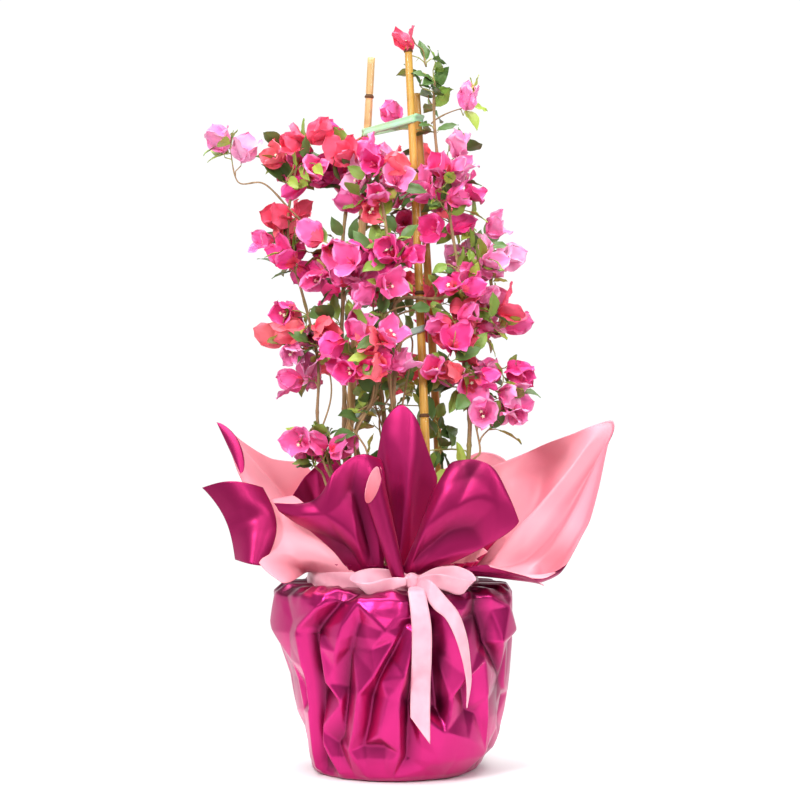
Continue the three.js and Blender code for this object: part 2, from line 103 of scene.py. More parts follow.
FLOOR_RADIUS, FLOOR_CORNERS = 1.1, 96
FLOOR_FADES = (0.24, 0.7)  # metres from the plant where the floor starts and ends to fade
floor_mesh = bpy.data.meshes.new("floor")
floor_turns = [2 * math.pi * k / FLOOR_CORNERS for k in range(FLOOR_CORNERS)]
floor_rim = [(FLOOR_RADIUS * math.cos(a), FLOOR_RADIUS * math.sin(a), 0) for a in floor_turns]
floor_mesh.from_pydata(floor_rim, [], [tuple(range(FLOOR_CORNERS))])
floor = in_scene("floor", floor_mesh)
# Matt white paint: it shows the pot's soft shadow and no reflection.
floor_paint, tree, shader = new_material(
    "matt_white_floor", {"Base Color": srgb("#FBFBFB"), "Roughness": 0.9}
)
place = add_node(tree, "TexCoord", {})
from_centre = add_node(tree, "VectorMath", {0: place.outputs["Object"]}, operation="LENGTH")
fading = add_node(
    tree,
    "MapRange",
    {
        "Value": from_centre.outputs["Value"],
        "From Min": FLOOR_FADES[0],
        "From Max": FLOOR_FADES[1],
        "To Min": 1.0,
        "To Max": 0.0,
    },
    interpolation_type="SMOOTHSTEP",
)
tree.links.new(fading.outputs["Result"], shader.inputs["Alpha"])
floor_mesh.materials.append(floor_paint)

world = bpy.data.worlds.new("white_room_with_dim_panels")
world.use_nodes = True
direction = add_node(world.node_tree, "TexCoord", {})
split = add_node(world.node_tree, "SeparateXYZ", {"Vector": direction.outputs["Generated"]})
WHITE_WALL, DIM_WALL = 1.04, 0.2
# Brightness of the walls, from dim (0) to white (1), in turns from -X through -Y, +X and +Y.
PANELS = [
    (0.0, 1), (0.04, 1), (0.06, 0), (0.1, 0), (0.115, 0.9), (0.14, 0.9), (0.155, 0), (0.2, 0), (0.21, 0.5),
    (0.225, 0.5), (0.24, 0), (0.31, 0), (0.335, 1), (0.415, 1), (0.435, 0), (0.5, 0), (0.53, 1),
]
behind = add_node(
    world.node_tree,
    "MapRange",
    {"Value": split.outputs["Y"], "From Min": -0.5, "From Max": -0.22, "To Min": -0.02, "To Max": 0.2},
    interpolation_type="SMOOTHSTEP",
)
above = add_node(
    world.node_tree,
    "Math",
    {0: split.outputs["Z"], 1: behind.outputs["Result"]},
    operation="SUBTRACT",
)
upward = add_node(
    world.node_tree,
    "MapRange",
    {"Value": above.outputs[0], "From Max": 0.2, "To Min": WHITE_WALL, "To Max": DIM_WALL},
    interpolation_type="SMOOTHSTEP",
)
round_room = add_node(
    world.node_tree, "TexGradient", {"Vector": direction.outputs["Generated"]}, gradient_type="RADIAL"
)
panels = add_node(world.node_tree, "ValToRGB", {"Fac": round_room.outputs["Fac"]})
ramp = panels.color_ramp
ramp.elements.remove(ramp.elements[1])
for k, (at, white) in enumerate(PANELS):
    stop = ramp.elements[0] if k == 0 else ramp.elements.new(at)
    level = DIM_WALL + (WHITE_WALL - DIM_WALL) * white
    stop.position = at
    stop.color = (level / WHITE_WALL, level / WHITE_WALL, level / WHITE_WALL, 1)
panel_strength = add_node(
    world.node_tree, "Math", {0: panels.outputs["Color"], 1: WHITE_WALL}, operation="MULTIPLY"
)
strength = add_node(
    world.node_tree,
    "Math",
    {0: panel_strength.outputs[0], 1: upward.outputs["Result"]},
    operation="MINIMUM",
)
room = world.node_tree.nodes["Background"]
world.node_tree.links.new(strength.outputs[0], room.inputs["Strength"])
room.inputs["Color"].default_value = srgb("#FFFFFF")
bpy.context.scene.world = world

# Place, what it points at and width of each soft light in metres, and its power in watts.
SOFT_LIGHTS = {
    "overhead": ((0.0, 0.1, 3.3), (0.0, 0.0, 0.0), 3.4, 210),
    "key": ((-1.5, -2.2, 1.9), (0.0, 0.0, 0.45), 0.7, 56),
    "front": ((0.6, -3.4, 2.2), (0.0, 0.0, 0.6), 1.6, 46),
    "strip": ((1.5, -1.5, 1.0), (0.0, 0.0, 0.35), 0.4, 12),
}
for name, (place, aim, width, power) in SOFT_LIGHTS.items():
    lamp = bpy.data.lights.new(name, "AREA")
    lamp.size = width
    lamp.energy = power
    made = in_scene(name, lamp)
    made.location = place
    made.rotation_euler = (Vector(aim) - Vector(place)).to_track_quat("-Z", "Y").to_euler()

# ------------------------------------------------------------------ nursery pot
# Injection-moulded black polypropylene, 25 cm across: the wrapping hides all but its rim. Its
# node keeps its shape and gets the dull, finely grained plastic of such pots.

GRAIN = 0.6 * MM  # grain of the mould


def uneven(tree, size, detail=2.0, drawn_out=1.0, distortion=0.0):
    """A cloudy pattern with features of that size, longer upwards when `drawn_out` is under 1."""
    where = add_node(tree, "TexCoord", {}).outputs["Object"]
    if drawn_out != 1.0:
        stretched = add_node(tree, "Mapping", {"Vector": where, "Scale": (1.0, 1.0, drawn_out)})
        where = stretched.outputs["Vector"]
    settings = {"Vector": where, "Scale": 1 / size, "Detail": detail, "Distortion": distortion}
    return add_node(tree, "TexNoise", settings).outputs["Fac"]


def show(tree, shader, ground=None, layers=(), height=None, strength=0.0, depth=0.0):
    """Gives a surface its ground, the colours that lie over it by their shares, and a relief."""
    colour = srgb(ground) if ground else None
    for share, over in layers:
        ends = {"Factor": share, 6: colour, 7: srgb(over)}
        colour = add_node(tree, "Mix", ends, data_type="RGBA").outputs[2]
    if layers:
        tree.links.new(colour, shader.inputs["Base Color"])
    if height:
        relief = add_node(tree, "Bump", {"Height": height, "Strength": strength, "Distance": depth})
        tree.links.new(relief.outputs["Normal"], shader.inputs["Normal"])


# Black plastic from a grained mould: dull, with broad grey lights.
pot_plastic, tree, shader = new_material(
    "moulded_polypropylene", {"Base Color": srgb("#2A2625"), "Roughness": 0.55, "IOR": 1.49}
)
show(tree, shader, height=uneven(tree, GRAIN), strength=0.25, depth=0.1 * MM)
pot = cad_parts["pot"]
pot.data.materials.clear()
pot.data.materials.append(pot_plastic)

# ------------------------------------------------------------------ compost
# Moist peat with bits of bark, poured in and settled a little below the rim. It is seen from
# above, through the open collar, so its crumbs are real relief.


def smooth_line(points, u):
    """Points at u, from 0 to 1, on a smooth line through the given points."""
    points = np.asarray(points, float)
    last = len(points) - 1
    place = np.clip(np.asarray(u, float), 0, 1) * last
    k = np.minimum(place.astype(int), last - 1)
    t = (place - k)[..., None]
    before, a, b = points[np.maximum(k - 1, 0)], points[k], points[k + 1]
    after = points[np.minimum(k + 2, last)]
    bend = (2 * before - 5 * a + 4 * b - after) * t**2
    return 0.5 * (2 * a + (b - before) * t + bend + (3 * a - before - 3 * b + after) * t**3)


def grid_faces(rows, columns, closed=False):
    """Four-sided faces of a grid of points; `closed` joins the last column to the first."""
    faces = []
    for i in range(rows - 1):
        for j in range(columns if closed else columns - 1):
            k = (j + 1) % columns
            first, second = i * columns, (i + 1) * columns
            faces.append((first + j, first + k, second + k, second + j))
    return faces


def around(radius, turn, height):
    """Points round the plant's axis."""
    return np.stack(np.broadcast_arrays(radius * np.cos(turn), radius * np.sin(turn), height), -1)


def solid_faces(rows, columns):
    """Faces of a grid that is closed round and has flat ends."""
    last = (rows - 1) * columns
    ends = [tuple(range(columns - 1, -1, -1)), tuple(last + k for k in range(columns))]
    return grid_faces(rows, columns, closed=True) + ends


def new_piece(name, points, faces, materials, slot, replaced=(), tones=None):
    """A smooth mesh piece of the plant or its wrapping, in place of those nodes of the model."""
    mesh = bpy.data.meshes.new(name)
    mesh.from_pydata([tuple(p) for p in points], [], faces)
    for material in materials:
        mesh.materials.append(material)
    mesh.polygons.foreach_set("use_smooth", [True] * len(mesh.polygons))
    if tones is not None:
        mesh.polygons.foreach_set("material_index", tones)
    piece = in_scene(name, mesh)
    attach(piece, "root")
    if replaced:
        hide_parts(*replaced)
    return piece


PEAT_CRUMB = 5 * MM

# Moist peat: nearly black crumbs among lighter fibres, without shine.
peat, tree, shader = new_material("moist_peat", {"Roughness": 0.95, "Specular IOR Level": 0.2})
show(tree, shader, "#1D130C", [(uneven(tree, PEAT_CRUMB, 5.0), "#6B4A30")])

low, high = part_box("soil")
soil_radius = (high.x - low.x) / 2
RINGS, SPOKES = 34, 120
chance = np.random.default_rng(5)
ring, spoke = np.meshgrid(np.linspace(0.02, 1, RINGS), np.arange(SPOKES), indexing="ij")
turn = 2 * math.pi * spoke / SPOKES
crumble = chance.uniform(-1, 1, ring.shape) * 1.5 * MM * (ring < 0.98)
dome = high.z - 6.5 * MM * np.clip((ring - 0.55) / 0.45, 0, 1) - 1.2 * MM
soil_points = around(ring * soil_radius, turn, dome + crumble)
skirt = soil_points[-1] * (0.8, 0.8, 0) + (0, 0, low.z)
soil_points = np.concatenate([soil_points.reshape(-1, 3), skirt])
new_piece("compost", soil_points, solid_faces(RINGS + 1, SPOKES), [peat], "compost", ["soil"])

# ------------------------------------------------------------------ trunk, stems and boughs
# One short woody trunk parts at the soil into six main stems, which climb the canes through the
# whole bush. Old wood is tan to grey-brown with lengthwise ridges and a swelling at each node.

WOOD_RIDGE = 3 * MM  # spacing of the ridges in the bark

# Young bark: tan ridges over brown furrows, with greenish patches where it is still thin.
bark, tree, shader = new_material("ridged_young_bark", {"Roughness": 0.8, "Specular IOR Level": 0.3})
ridges = uneven(tree, WOOD_RIDGE, 4.0, drawn_out=0.16)
patches = {"Value": uneven(tree, 28 * MM, 3.0), "From Min": 0.5, "From Max": 0.72}
greenish = add_node(tree, "MapRange", patches).outputs["Result"]
show(tree, shader, "#5E4630", [(ridges, "#C6A27A"), (greenish, "#87804A")], ridges, 0.5, 0.5 * MM)


def tube(path, radii, sides, relief=None):
    """Points and faces of a closed round tube; `relief` scales the radius of each point."""
    path = np.asarray(path, float)
    ahead = np.gradient(path, axis=0)
    ahead /= np.linalg.norm(ahead, axis=1, keepdims=True)
    side = np.cross(ahead[0], (0.31, 0.87, 0.11))
    turn = 2 * np.pi * np.arange(sides) / sides
    points = []
    for k, (centre, way) in enumerate(zip(path, ahead)):
        side = side - way * side.dot(way)
        side /= np.linalg.norm(side)
        other = np.cross(way, side)
        size = radii[k] * (1 if relief is None else relief[k][:, None])
        points.append(centre + size * (np.cos(turn)[:, None] * side + np.sin(turn)[:, None] * other))
    return np.concatenate(points), solid_faces(len(path), sides)


def middle_of(node):
    """The middle of a node's box in the model."""
    low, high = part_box(node)
    return np.array((low + high) / 2)


# Each stem's own points in millimetres, its radii, and the masses that it climbs on through.
STEMS = {
    "stem_left": (
        [(-16, 5, 226), (-34, 4, 280), (-50, 0, 336), (-60, 2, 396), (-62, 8, 500)],
        (6.5, 4.0),
        ["mass_centre_left", "mass_crown_left"],
    ),
    "stem_left_outer": (
        [(-12, -8, 225), (-40, -17, 290), (-72, -18, 350), (-88, -16, 408), (-92, -12, 500)],
        (4.2, 2.6),
        ["mass_left_middle", "mass_upper_left"],
    ),
    "stem_centre": (
        [(-1, -13, 227), (-24, -25, 320), (-42, -26, 404), (-15, -31, 462), (-18, -30, 520)],
        (4.5, 3.0),
        ["mass_front_upper", "mass_crown_front"],
    ),
    "stem_front": (
        [(10, -8, 226), (8, -25, 330), (1, -32, 430), (6, -36, 517), (8, -38, 560)],
        (5.0, 3.4),
        ["mass_right_inner", "mass_crown_right"],
    ),
    "stem_right": (
        [(15, 5, 225), (48, -8, 296), (82, -14, 352), (93, -14, 408), (84, -14, 500)],
        (5.6, 3.6),
        ["mass_right_middle", "mass_right_shoulder", "mass_crown_right", "mass_top_column"],
    ),
    "stem_back": (
        [(0, 20, 226), (-4, 44, 300), (-8, 62, 390), (-16, 70, 480)],
        (5.4, 3.6),
        ["mass_back_middle", "mass_crown_back"],
    ),
    "bough_left_sprig": (
        [(-104, -12, 650), (-124, -12, 668), (-154, -12, 700), (-184, -11, 704), (-194, -10, 740)],
        (2.2, 1.0),
        [],
    ),
    "bough_low_left": ([(-70, -24, 344), (-80, -28, 364), (-90, -26, 384)], (2.4, 1.6), []),
    "bough_crest": ([(40, 2, 842), (34, -2, 864), (22, -4, 876)], (1.5, 1.0), []),
    "bough_top_right": ([(46, 2, 774), (68, -4, 786), (88, -9, 793)], (1.5, 0.9), []),
    "bough_right_sprig": ([(54, -4, 700), (66, 8, 722), (78, 14, 738)], (1.5, 0.9), []),
}
RING_STEP = 3 * MM
STEM_SIDES = 12
SLIMMER = 0.62  # the model's limbs are a little stouter than the wood, to be sound solids
SWELLING = 34 * MM  # distance between the nodes of a stem
LEADER_TIP = 1.6 * MM
TWIGS_ABOVE = 0.33  # metres up: below it the limbs are bare

skeleton = []  # (place, direction) of every point from which a twig may grow
stem_paths = {}
for name, (stops, (thick, thin), climbed) in STEMS.items():
    stops = [np.array(p) * MM for p in stops]
    own = len(stops) - 1
    stops += [middle_of(mass) + (0, 0, 0.01) for mass in climbed]
    rough = smooth_line(stops, np.linspace(0, 1, 60))
    length = np.linalg.norm(np.diff(rough, axis=0), axis=1).sum()
    count = max(8, int(length / RING_STEP))
    u = np.linspace(0, 1, count)
    path = smooth_line(stops, u)
    chance = np.random.default_rng(len(name) + 31 * count)
    wander = smooth_line(chance.normal(0, 1.6 * MM, (max(4, count // 12), 3)), u)
    path += wander * np.clip(u * 6, 0, 1)[:, None]
    leader_from = own / (len(stops) - 1)
    turning_points = [0, leader_from, 1] if climbed else [0, 1]
    sizes = [thick * MM * SLIMMER, thin * MM * SLIMMER] + ([LEADER_TIP] if climbed else [])
    radii = np.interp(u, turning_points, sizes)
    knots = np.exp(-(((u * length / SWELLING) % 1 - 0.5) / 0.1) ** 2)
    turn = 2 * np.pi * np.arange(STEM_SIDES) / STEM_SIDES
    ribs = 0.07 * np.sin(3 * turn[None] + 7 * u[:, None]) + 0.05 * np.sin(5 * turn[None] - 9 * u[:, None])
    relief = 1 + ribs + 0.28 * knots[:, None] + chance.normal(0, 0.035, (count, STEM_SIDES))
    points, faces = tube(path, radii, STEM_SIDES, relief)
    new_piece(name + "_bark", points, faces, [bark], "bark", [name])
    ways = np.gradient(path, axis=0)
    stem_paths[name] = path
    for k in range(0, count, 2):
        if path[k][2] > TWIGS_ABOVE:
            skeleton.append((path[k], ways[k] / np.linalg.norm(ways[k])))

# The trunk: eight ribs that run out into the root flare, cut level at the soil.
TRUNK_RINGS, TRUNK_SIDES = 26, 40
low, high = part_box("trunk")
u = np.linspace(0, 1, TRUNK_RINGS)
turn = 2 * np.pi * np.arange(TRUNK_SIDES) / TRUNK_SIDES
lean = np.interp(u, [0, 0.4, 1], [0, 1, -1]) * MM
axis = np.stack([lean, 3 * MM + 0 * u, low.z + u * (high.z - low.z)], -1)
flare = np.interp(u, [0, 0.12, 0.4, 1], [15, 13, 11.5, 10.8]) * MM
ribs = 1 + (0.1 + 0.12 * (1 - u[:, None]) ** 2) * np.sin(8 * turn[None] + 2 * u[:, None])
trunk_points = (around(flare[:, None] * ribs, turn, 0.0) + axis[:, None]).reshape(-1, 3)
trunk_faces = solid_faces(TRUNK_RINGS, TRUNK_SIDES)
new_piece("trunk_bark", trunk_points, trunk_faces, [bark], "bark", ["trunk"])

# ------------------------------------------------------------------ bamboo canes
# Three thin canes, pushed into the compost and leant together. Each is straight, smooth and
# straw-gold, with a raised brown ring at every node and a sawn end that shows its hollow.

CANES = {  # foot, tip, distance of the first node below the tip, colour between the nodes
    "cane_front": ((45, -64, 192), (18, -8, 868), 9, "#E7B64C"),
    "cane_left": ((-68, 35, 192), (-26, 8, 854), 47, "#EFD199"),
    "cane_right": ((65, 45, 192), (28, 14, 812), 96, "#C99A4A"),
}
INTERNODE = 146 * MM
FIBRE = 1.2 * MM  # width of a streak in the skin
CANE_SIDES = 24

for name, (foot, tip, first_node, skin) in CANES.items():
    # Smooth bamboo skin, lightly varnished: straw-gold streaks along the cane and brown stains.
    bamboo, tree, shader = new_material(
        "varnished_bamboo_" + name, {"Roughness": 0.38, "IOR": 1.5, "Coat Weight": 0.15}
    )
    fibres = uneven(tree, FIBRE, 3.0, drawn_out=0.025)
    stains = {"Value": uneven(tree, 22 * MM, 4.0), "From Min": 0.58, "From Max": 0.75, "To Max": 0.6}
    stained = add_node(tree, "MapRange", stains).outputs["Result"]
    show(tree, shader, "#A9772A", [(fibres, skin), (stained, "#9A6A30")], fibres, 0.2, 0.2 * MM)
    # The ring at each node is dry sheath: dark brown and dull.
    ring_bark, _, _ = new_material(
        "dry_bamboo_node_" + name, {"Base Color": srgb("#5A3A1E"), "Roughness": 0.8}
    )

    foot, tip = np.array(foot) * MM, np.array(tip) * MM
    length = np.linalg.norm(tip - foot)
    along = list(np.arange(0, length, 8 * MM)) + [length]
    node_places = np.arange(length - first_node * MM, 0, -INTERNODE)
    for spot in node_places:
        along += [spot + d * MM for d in (-4, -2.6, -1.6, -0.8, 0, 0.7, 1.3, 2.0, 3.0, 4.5)]
    along = np.array(sorted(d for d in along if 0 <= d <= length))
    nearest = np.min(np.abs(along[:, None] - node_places[None]), axis=1)
    swell = 1.15 * MM * np.exp(-((nearest / (1.7 * MM)) ** 2))
    groove = -0.5 * MM * np.exp(-(((nearest - 3.0 * MM) / (0.8 * MM)) ** 2))
    radii = np.interp(along, [0, length], [5.5 * MM, 4.5 * MM]) + swell + groove
    bow = np.sin(np.pi * along / length)[:, None] * np.array([1.5, 1.0, 0.0]) * MM
    path = foot + (tip - foot) * (along / length)[:, None] + bow
    # The sawn end turns in and goes down the hollow.
    way = (tip - foot) / length
    path = np.concatenate([path, [path[-1] + way * 0.3 * MM, path[-1] - way * 9 * MM]])
    radii = np.concatenate([radii, [2.6 * MM, 2.4 * MM]])
    turn = 2 * np.pi * np.arange(CANE_SIDES) / CANE_SIDES
    side = np.cross(way, (0, 1, 0))
    side /= np.linalg.norm(side)
    other = np.cross(way, side)
    outline = np.cos(turn)[:, None] * side + np.sin(turn)[:, None] * other
    points = (path[:, None] + radii[:, None, None] * outline[None]).reshape(-1, 3)
    faces = solid_faces(len(path), CANE_SIDES)
    at_node = [bool(abs(d) < 2.2 * MM) for d in nearest] + [False, False]
    tones = [int(at_node[i // CANE_SIDES]) for i in range(len(faces) - 2)] + [0, 0]
    new_piece(name + "_bamboo", points, faces, [bamboo, ring_bark], "bamboo", [name], tones)

# ------------------------------------------------------------------ plant ties
# Soft green plastic tape, wound once round the three canes near the top. Three short pieces of
# greyed tape lower down hold stems to the canes: two on the left one, one on the front one.

# Soft plastic tape: pale blue-green with yellower stretches, creped across.
tape, tree, shader = new_material("soft_green_tape", {"Roughness": 0.45, "IOR": 1.5})
layers = [(uneven(tree, 24 * MM), "#A5E0CF")]
show(tree, shader, "#A9CF7C", layers, uneven(tree, 3 * MM, 3.0), 0.5, 0.4 * MM)
# The lower pieces are older, greyed and dull.
old_tape, _, _ = new_material("weathered_tape", {"Base Color": srgb("#9DB3A2"), "Roughness": 0.6})


def cane_at(name, z):
    """The middle of a cane at that height."""
    foot, tip = (np.array(p) * MM for p in CANES[name][:2])
    return foot + (tip - foot) * (z - foot[2]) / (tip[2] - foot[2])


def thicken(piece, thickness):
    """Turns a thin sheet into a solid one."""
    skin = piece.modifiers.new("thickness", "SOLIDIFY")
    skin.thickness = thickness
    return skin


def wound_tape(name, centres, reach, z, height, slant, material, slot, replaced):
    """Tape pulled tight round upright rods: the outline round their circles, a little slanted."""
    COUNT, BANDS = 96, 6
    turn = 2 * np.pi * np.arange(COUNT) / COUNT
    way = np.stack([np.cos(turn), np.sin(turn)], -1)
    flat = np.array([c[:2] for c in centres])
    furthest = flat[np.argmax(way @ flat.T, axis=1)]
    chance = np.random.default_rng(COUNT + len(name))
    ripple = smooth_line(chance.normal(0, 0.5 * MM, (25, 1)), np.arange(COUNT) / COUNT)[:, 0]
    rows = []
    for k in range(BANDS + 1):
        lift = (k / BANDS - 0.5) * height
        outer = furthest + way * (reach + ripple * np.sin(2 + 1.3 * k))[:, None]
        level = z + lift + slant * outer[:, 0] + ripple
        rows.append(np.column_stack([outer, level]))
    points = np.concatenate(rows)
    piece = new_piece(name, points, grid_faces(BANDS + 1, COUNT, True), [material], slot, replaced)
    thicken(piece, 0.4 * MM)


tied = [cane_at(name, 0.77) for name in CANES]
wound_tape("top_tie_tape", tied, 6.2 * MM, 0.772, 9.5 * MM, 0.22, tape, "plant_tie", ["tie_top"])
# The cane, the height, and where the held stem stands beside the cane.
STEM_TIES = [
    ("cane_left", 0.438, (10, -8)),
    ("cane_left", 0.56, (-8, -9)),
    ("cane_front", 0.516, (-14, 4)),
]
for k, (cane, z, beside) in enumerate(STEM_TIES):
    rod = cane_at(cane, z)
    held = rod + np.array([*beside, 0]) * MM
    wound_tape(f"stem_tie_{k}", [rod, held], 5.6 * MM, z, 8 * MM, 0.3, old_tape, "plant_tie", [])

# ------------------------------------------------------------------ twigs
# Young wood. Every spray of leaves and head of blossom stands at the end of a twig, which leaves
# the nearest limb or earlier twig along its direction and turns up towards its own place. It is
# thicker the more twigs it carries.

# Each mass: how many heads of blossom, how many sprays of leaves, tone of the blossom. Where there
# is one head, LONE_BLOSSOMS stands for it.
MASSES = {
    "mass_crest": (1, 0, 2.6),
    "mass_top_column": (0, 9, 2.6),
    "mass_top_right": (1, 2, 1.0),
    "mass_right_sprig": (1, 2, 0.6),
    "mass_left_sprig": (1, 2, 0.9),
    "mass_upper_left": (4, 6, 2.8),
    "mass_crown_left": (4, 5, 3.0),
    "mass_crown_front": (5, 6, 2.2),
    "mass_crown_right": (5, 6, 2.0),
    "mass_crown_back": (6, 8, 2.2),
    "mass_right_shoulder": (3, 6, 1.4),
    "mass_left_middle": (4, 5, 2.4),
    "mass_centre_left": (4, 8, 2.2),
    "mass_front_upper": (3, 5, 2.4),
    "mass_right_inner": (3, 6, 2.4),
    "mass_back_middle": (6, 10, 2.2),
    "mass_right_middle": (4, 5, 1.8),
    "mass_left_lower": (5, 9, 1.8),
    "mass_front_lower": (4, 8, 2.0),
    "mass_right_lower": (4, 6, 2.6),
    "mass_right_fringe": (5, 5, 0.9),
    "mass_back_lower": (5, 12, 2.0),
    "mass_low_left": (2, 5, 1.6),
}
HEAD_SPACING = 34 * MM
TWIG_STEP = 7 * MM

chance = random.Random(2029)
centres = {name: middle_of(name) for name in MASSES}
halves = {name: np.array((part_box(name)[1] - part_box(name)[0]) / 2) for name in MASSES}
CROWN_AXIS = np.array([0.004, 0.004])


def ball_point(mass, nearest, furthest, reach):
    """A point by chance in a mass, between those shares of the way to its surface, which what
    grows there overtops by `reach`."""
    way = np.array([chance.gauss(0, 1) for _ in range(3)])
    way /= np.linalg.norm(way)
    outward = np.array([*(centres[mass][:2] - CROWN_AXIS), 0.0])
    outward /= np.linalg.norm(outward)
    room = np.maximum(halves[mass] - reach * (0.3 + 0.7 * max(0, way.dot(outward))), 0.2 * halves[mass])
    return centres[mass] + room * way * chance.uniform(nearest, furthest)


def depth_in_others(mass, point):
    """How far inside the other masses a point is: 0 outside them all, 1 at a centre."""
    inside = [1 - np.linalg.norm((point - centres[o]) / halves[o]) for o in MASSES if o != mass]
    return max(0.0, max(inside))


# Blossoms that stand alone: mass, place in millimetres across and up, and the way they open.
LONE_BLOSSOMS = [
    ("mass_crest", 21, 855, (-0.3, -0.3, 1)),
    ("mass_left_sprig", -201, 732, (-0.3, -0.35, 1)),
    ("mass_left_sprig", -182, 722, (0.25, -0.45, 1)),
    ("mass_top_right", 84, 782, (0.35, -0.45, 1)),
    ("mass_top_right", 76, 728, (0.15, -0.55, 0.9)),
    ("mass_top_column", 8, 768, (-0.45, -0.2, 0.9)),
    ("mass_right_sprig", 106, 640, (0.9, -0.2, 0.5)),
]
seats = []  # (place, kind, tone, the way that a lone blossom opens)
for mass, x, z, opens in LONE_BLOSSOMS:
    seats.append((np.array([x * MM, centres[mass][1], z * MM]), "alone", MASSES[mass][2], opens))
taken = np.array([seat[0] for seat in seats])
TRIES = 24
for mass, (heads, sprays, tone) in MASSES.items():
    heads = 0 if heads == 1 else heads
    for k in range(heads + sprays):
        is_head = k < heads
        best, best_score = None, -1e9
        for _ in range(TRIES):
            trial = ball_point(mass, 0.5, 1.0, 25 * MM) if is_head else ball_point(mass, 0.2, 1.0, 12 * MM)
            away = np.linalg.norm(taken - trial, axis=1).min()
            outward = np.linalg.norm(trial[:2] - CROWN_AXIS)
            score = min(away, HEAD_SPACING if is_head else 0.6 * HEAD_SPACING)
            score -= 0.08 * depth_in_others(mass, trial)
            score += 0.10 * outward if is_head else 0.0
            if score > best_score:
                best, best_score = trial, score
        seats.append((best, "head" if is_head else "spray", tone, None))
        taken = np.vstack([taken, best])

# Low on the stems there are leaves and no blossom.
LOW_SPRAYS = 26
for k in range(LOW_SPRAYS):
    angle = chance.uniform(0, 2 * math.pi)
    out = chance.uniform(35, 85) * MM
    place = (out * math.cos(angle), 0.8 * out * math.sin(angle), chance.uniform(345, 455) * MM)
    seats.append((np.array(place), "spray", 0, None))

# Bare twigs, which have dropped their leaves, fill the crown between them.
SEATS_PER_BARE_TWIG = 4
for mass, (heads, sprays, tone) in MASSES.items():
    for k in range((heads + sprays) // SEATS_PER_BARE_TWIG):
        seats.append((ball_point(mass, 0.3, 1.0, 4 * MM), "bare", tone, None))

# Thin shoots rise from the trunk beside the stems.
SHOOTS = 14
shoots = []
for k in range(SHOOTS):
    path = stem_paths[chance.choice([name for name in STEMS if name.startswith("stem")])]
    reach = int(len(path) * chance.uniform(0.45, 0.8))
    u = np.linspace(0, 1, reach)
    sway = smooth_line([[chance.gauss(0, 9 * MM) for _ in range(3)] for _ in range(7)], u)
    shoot = path[:reach] + sway * np.clip(u * 5, 0, 1)[:, None]
    shoots.append((shoot[::2], np.interp(u[::2], [0, 1], [chance.uniform(1.5, 2.3) * MM, 0.9 * MM])))
    for spot, way in zip(shoot[::4], np.gradient(shoot, axis=0)[::4]):
        if spot[2] > TWIGS_ABOVE:
            skeleton.append((spot, way / np.linalg.norm(way)))

places = np.array([p for p, _ in skeleton])
ways = np.array([w for _, w in skeleton])
parents = [-1] * len(places)
twigs = []  # (indices of the twig's points, from the place where it leaves)
tips = []  # (place, kind, tone, the way that a lone blossom opens, indices of the twig's points)
order = sorted(seats, key=lambda s: np.linalg.norm(places - s[0], axis=1).min())
for seat, kind, tone, opens in order:
    to_seat = seat - places
    distance = np.linalg.norm(to_seat, axis=1)
    above = np.clip(places[:, 2] - seat[2] + 0.012, 0, None)
    aligned = np.einsum("ij,ij->i", to_seat, ways) / np.maximum(distance, 1e-6)
    start = int(np.argmin(distance * (1.25 - 0.25 * aligned) + 1.1 * above))
    length = distance[start]
    side = np.array([chance.gauss(0, 1) for _ in range(3)]) * 0.12 * length
    control = places[start] + ways[start] * 0.45 * length + side + (0, 0, 0.05 * length)
    count = max(3, int(length / TWIG_STEP) + 1)
    t = np.linspace(0, 1, count)[:, None]
    path = (1 - t) ** 2 * places[start] + 2 * t * (1 - t) * control + t**2 * seat
    path[1:-1] += np.array([[chance.gauss(0, 0.5 * MM) for _ in range(3)] for _ in range(count - 2)])
    heading = np.gradient(path, axis=0)
    heading /= np.linalg.norm(heading, axis=1, keepdims=True)
    first = len(places)
    places = np.vstack([places, path[1:]])
    ways = np.vstack([ways, heading[1:]])
    parents += [start] + list(range(first, first + count - 2))
    twigs.append([start] + list(range(first, first + count - 1)))
    tips.append((path[-1], kind, tone, opens, twigs[-1]))

# Each point carries as much wood as the points beyond it.
TWIG_TIP = 0.7 * MM
load = np.zeros(len(places))
for k in range(len(places) - 1, -1, -1):
    load[k] = max(load[k], 1.0)
    if parents[k] >= 0:
        load[parents[k]] += load[k] * 0.985
thickness = np.minimum(TWIG_TIP * np.maximum(load, 1.0) ** 0.28, 2.2 * MM)

# This year's wood has a smooth yellow-green skin, and last year's a dull, dry tan bark.
new_wood, _, _ = new_material(
    "green_shoot_skin", {"Base Color": srgb("#A6A65A"), "Roughness": 0.55, "IOR": 1.45}
)
old_wood, _, _ = new_material(
    "brown_twig_bark", {"Base Color": srgb("#A98A62"), "Roughness": 0.8, "IOR": 1.45}
)


class Joined:
    """Many small meshes in one, with a tone, the number of its material, for each face."""

    def __init__(self):
        self.points, self.faces, self.tones, self.count = [], [], [], 0

    def add(self, mesh, tone):
        """Adds points and faces, with one tone or a tone for each face."""
        points, faces = mesh
        self.points.append(points)
        self.faces += [tuple(self.count + k for k in face) for face in faces]
        self.tones += tone if isinstance(tone, list) else [tone] * len(faces)
        self.count += len(points)

    def make(self, name, materials, slot, replaced=()):
        """Makes the piece."""
        points = np.concatenate(self.points)
        new_piece(name, points, self.faces, materials, slot, replaced, self.tones)


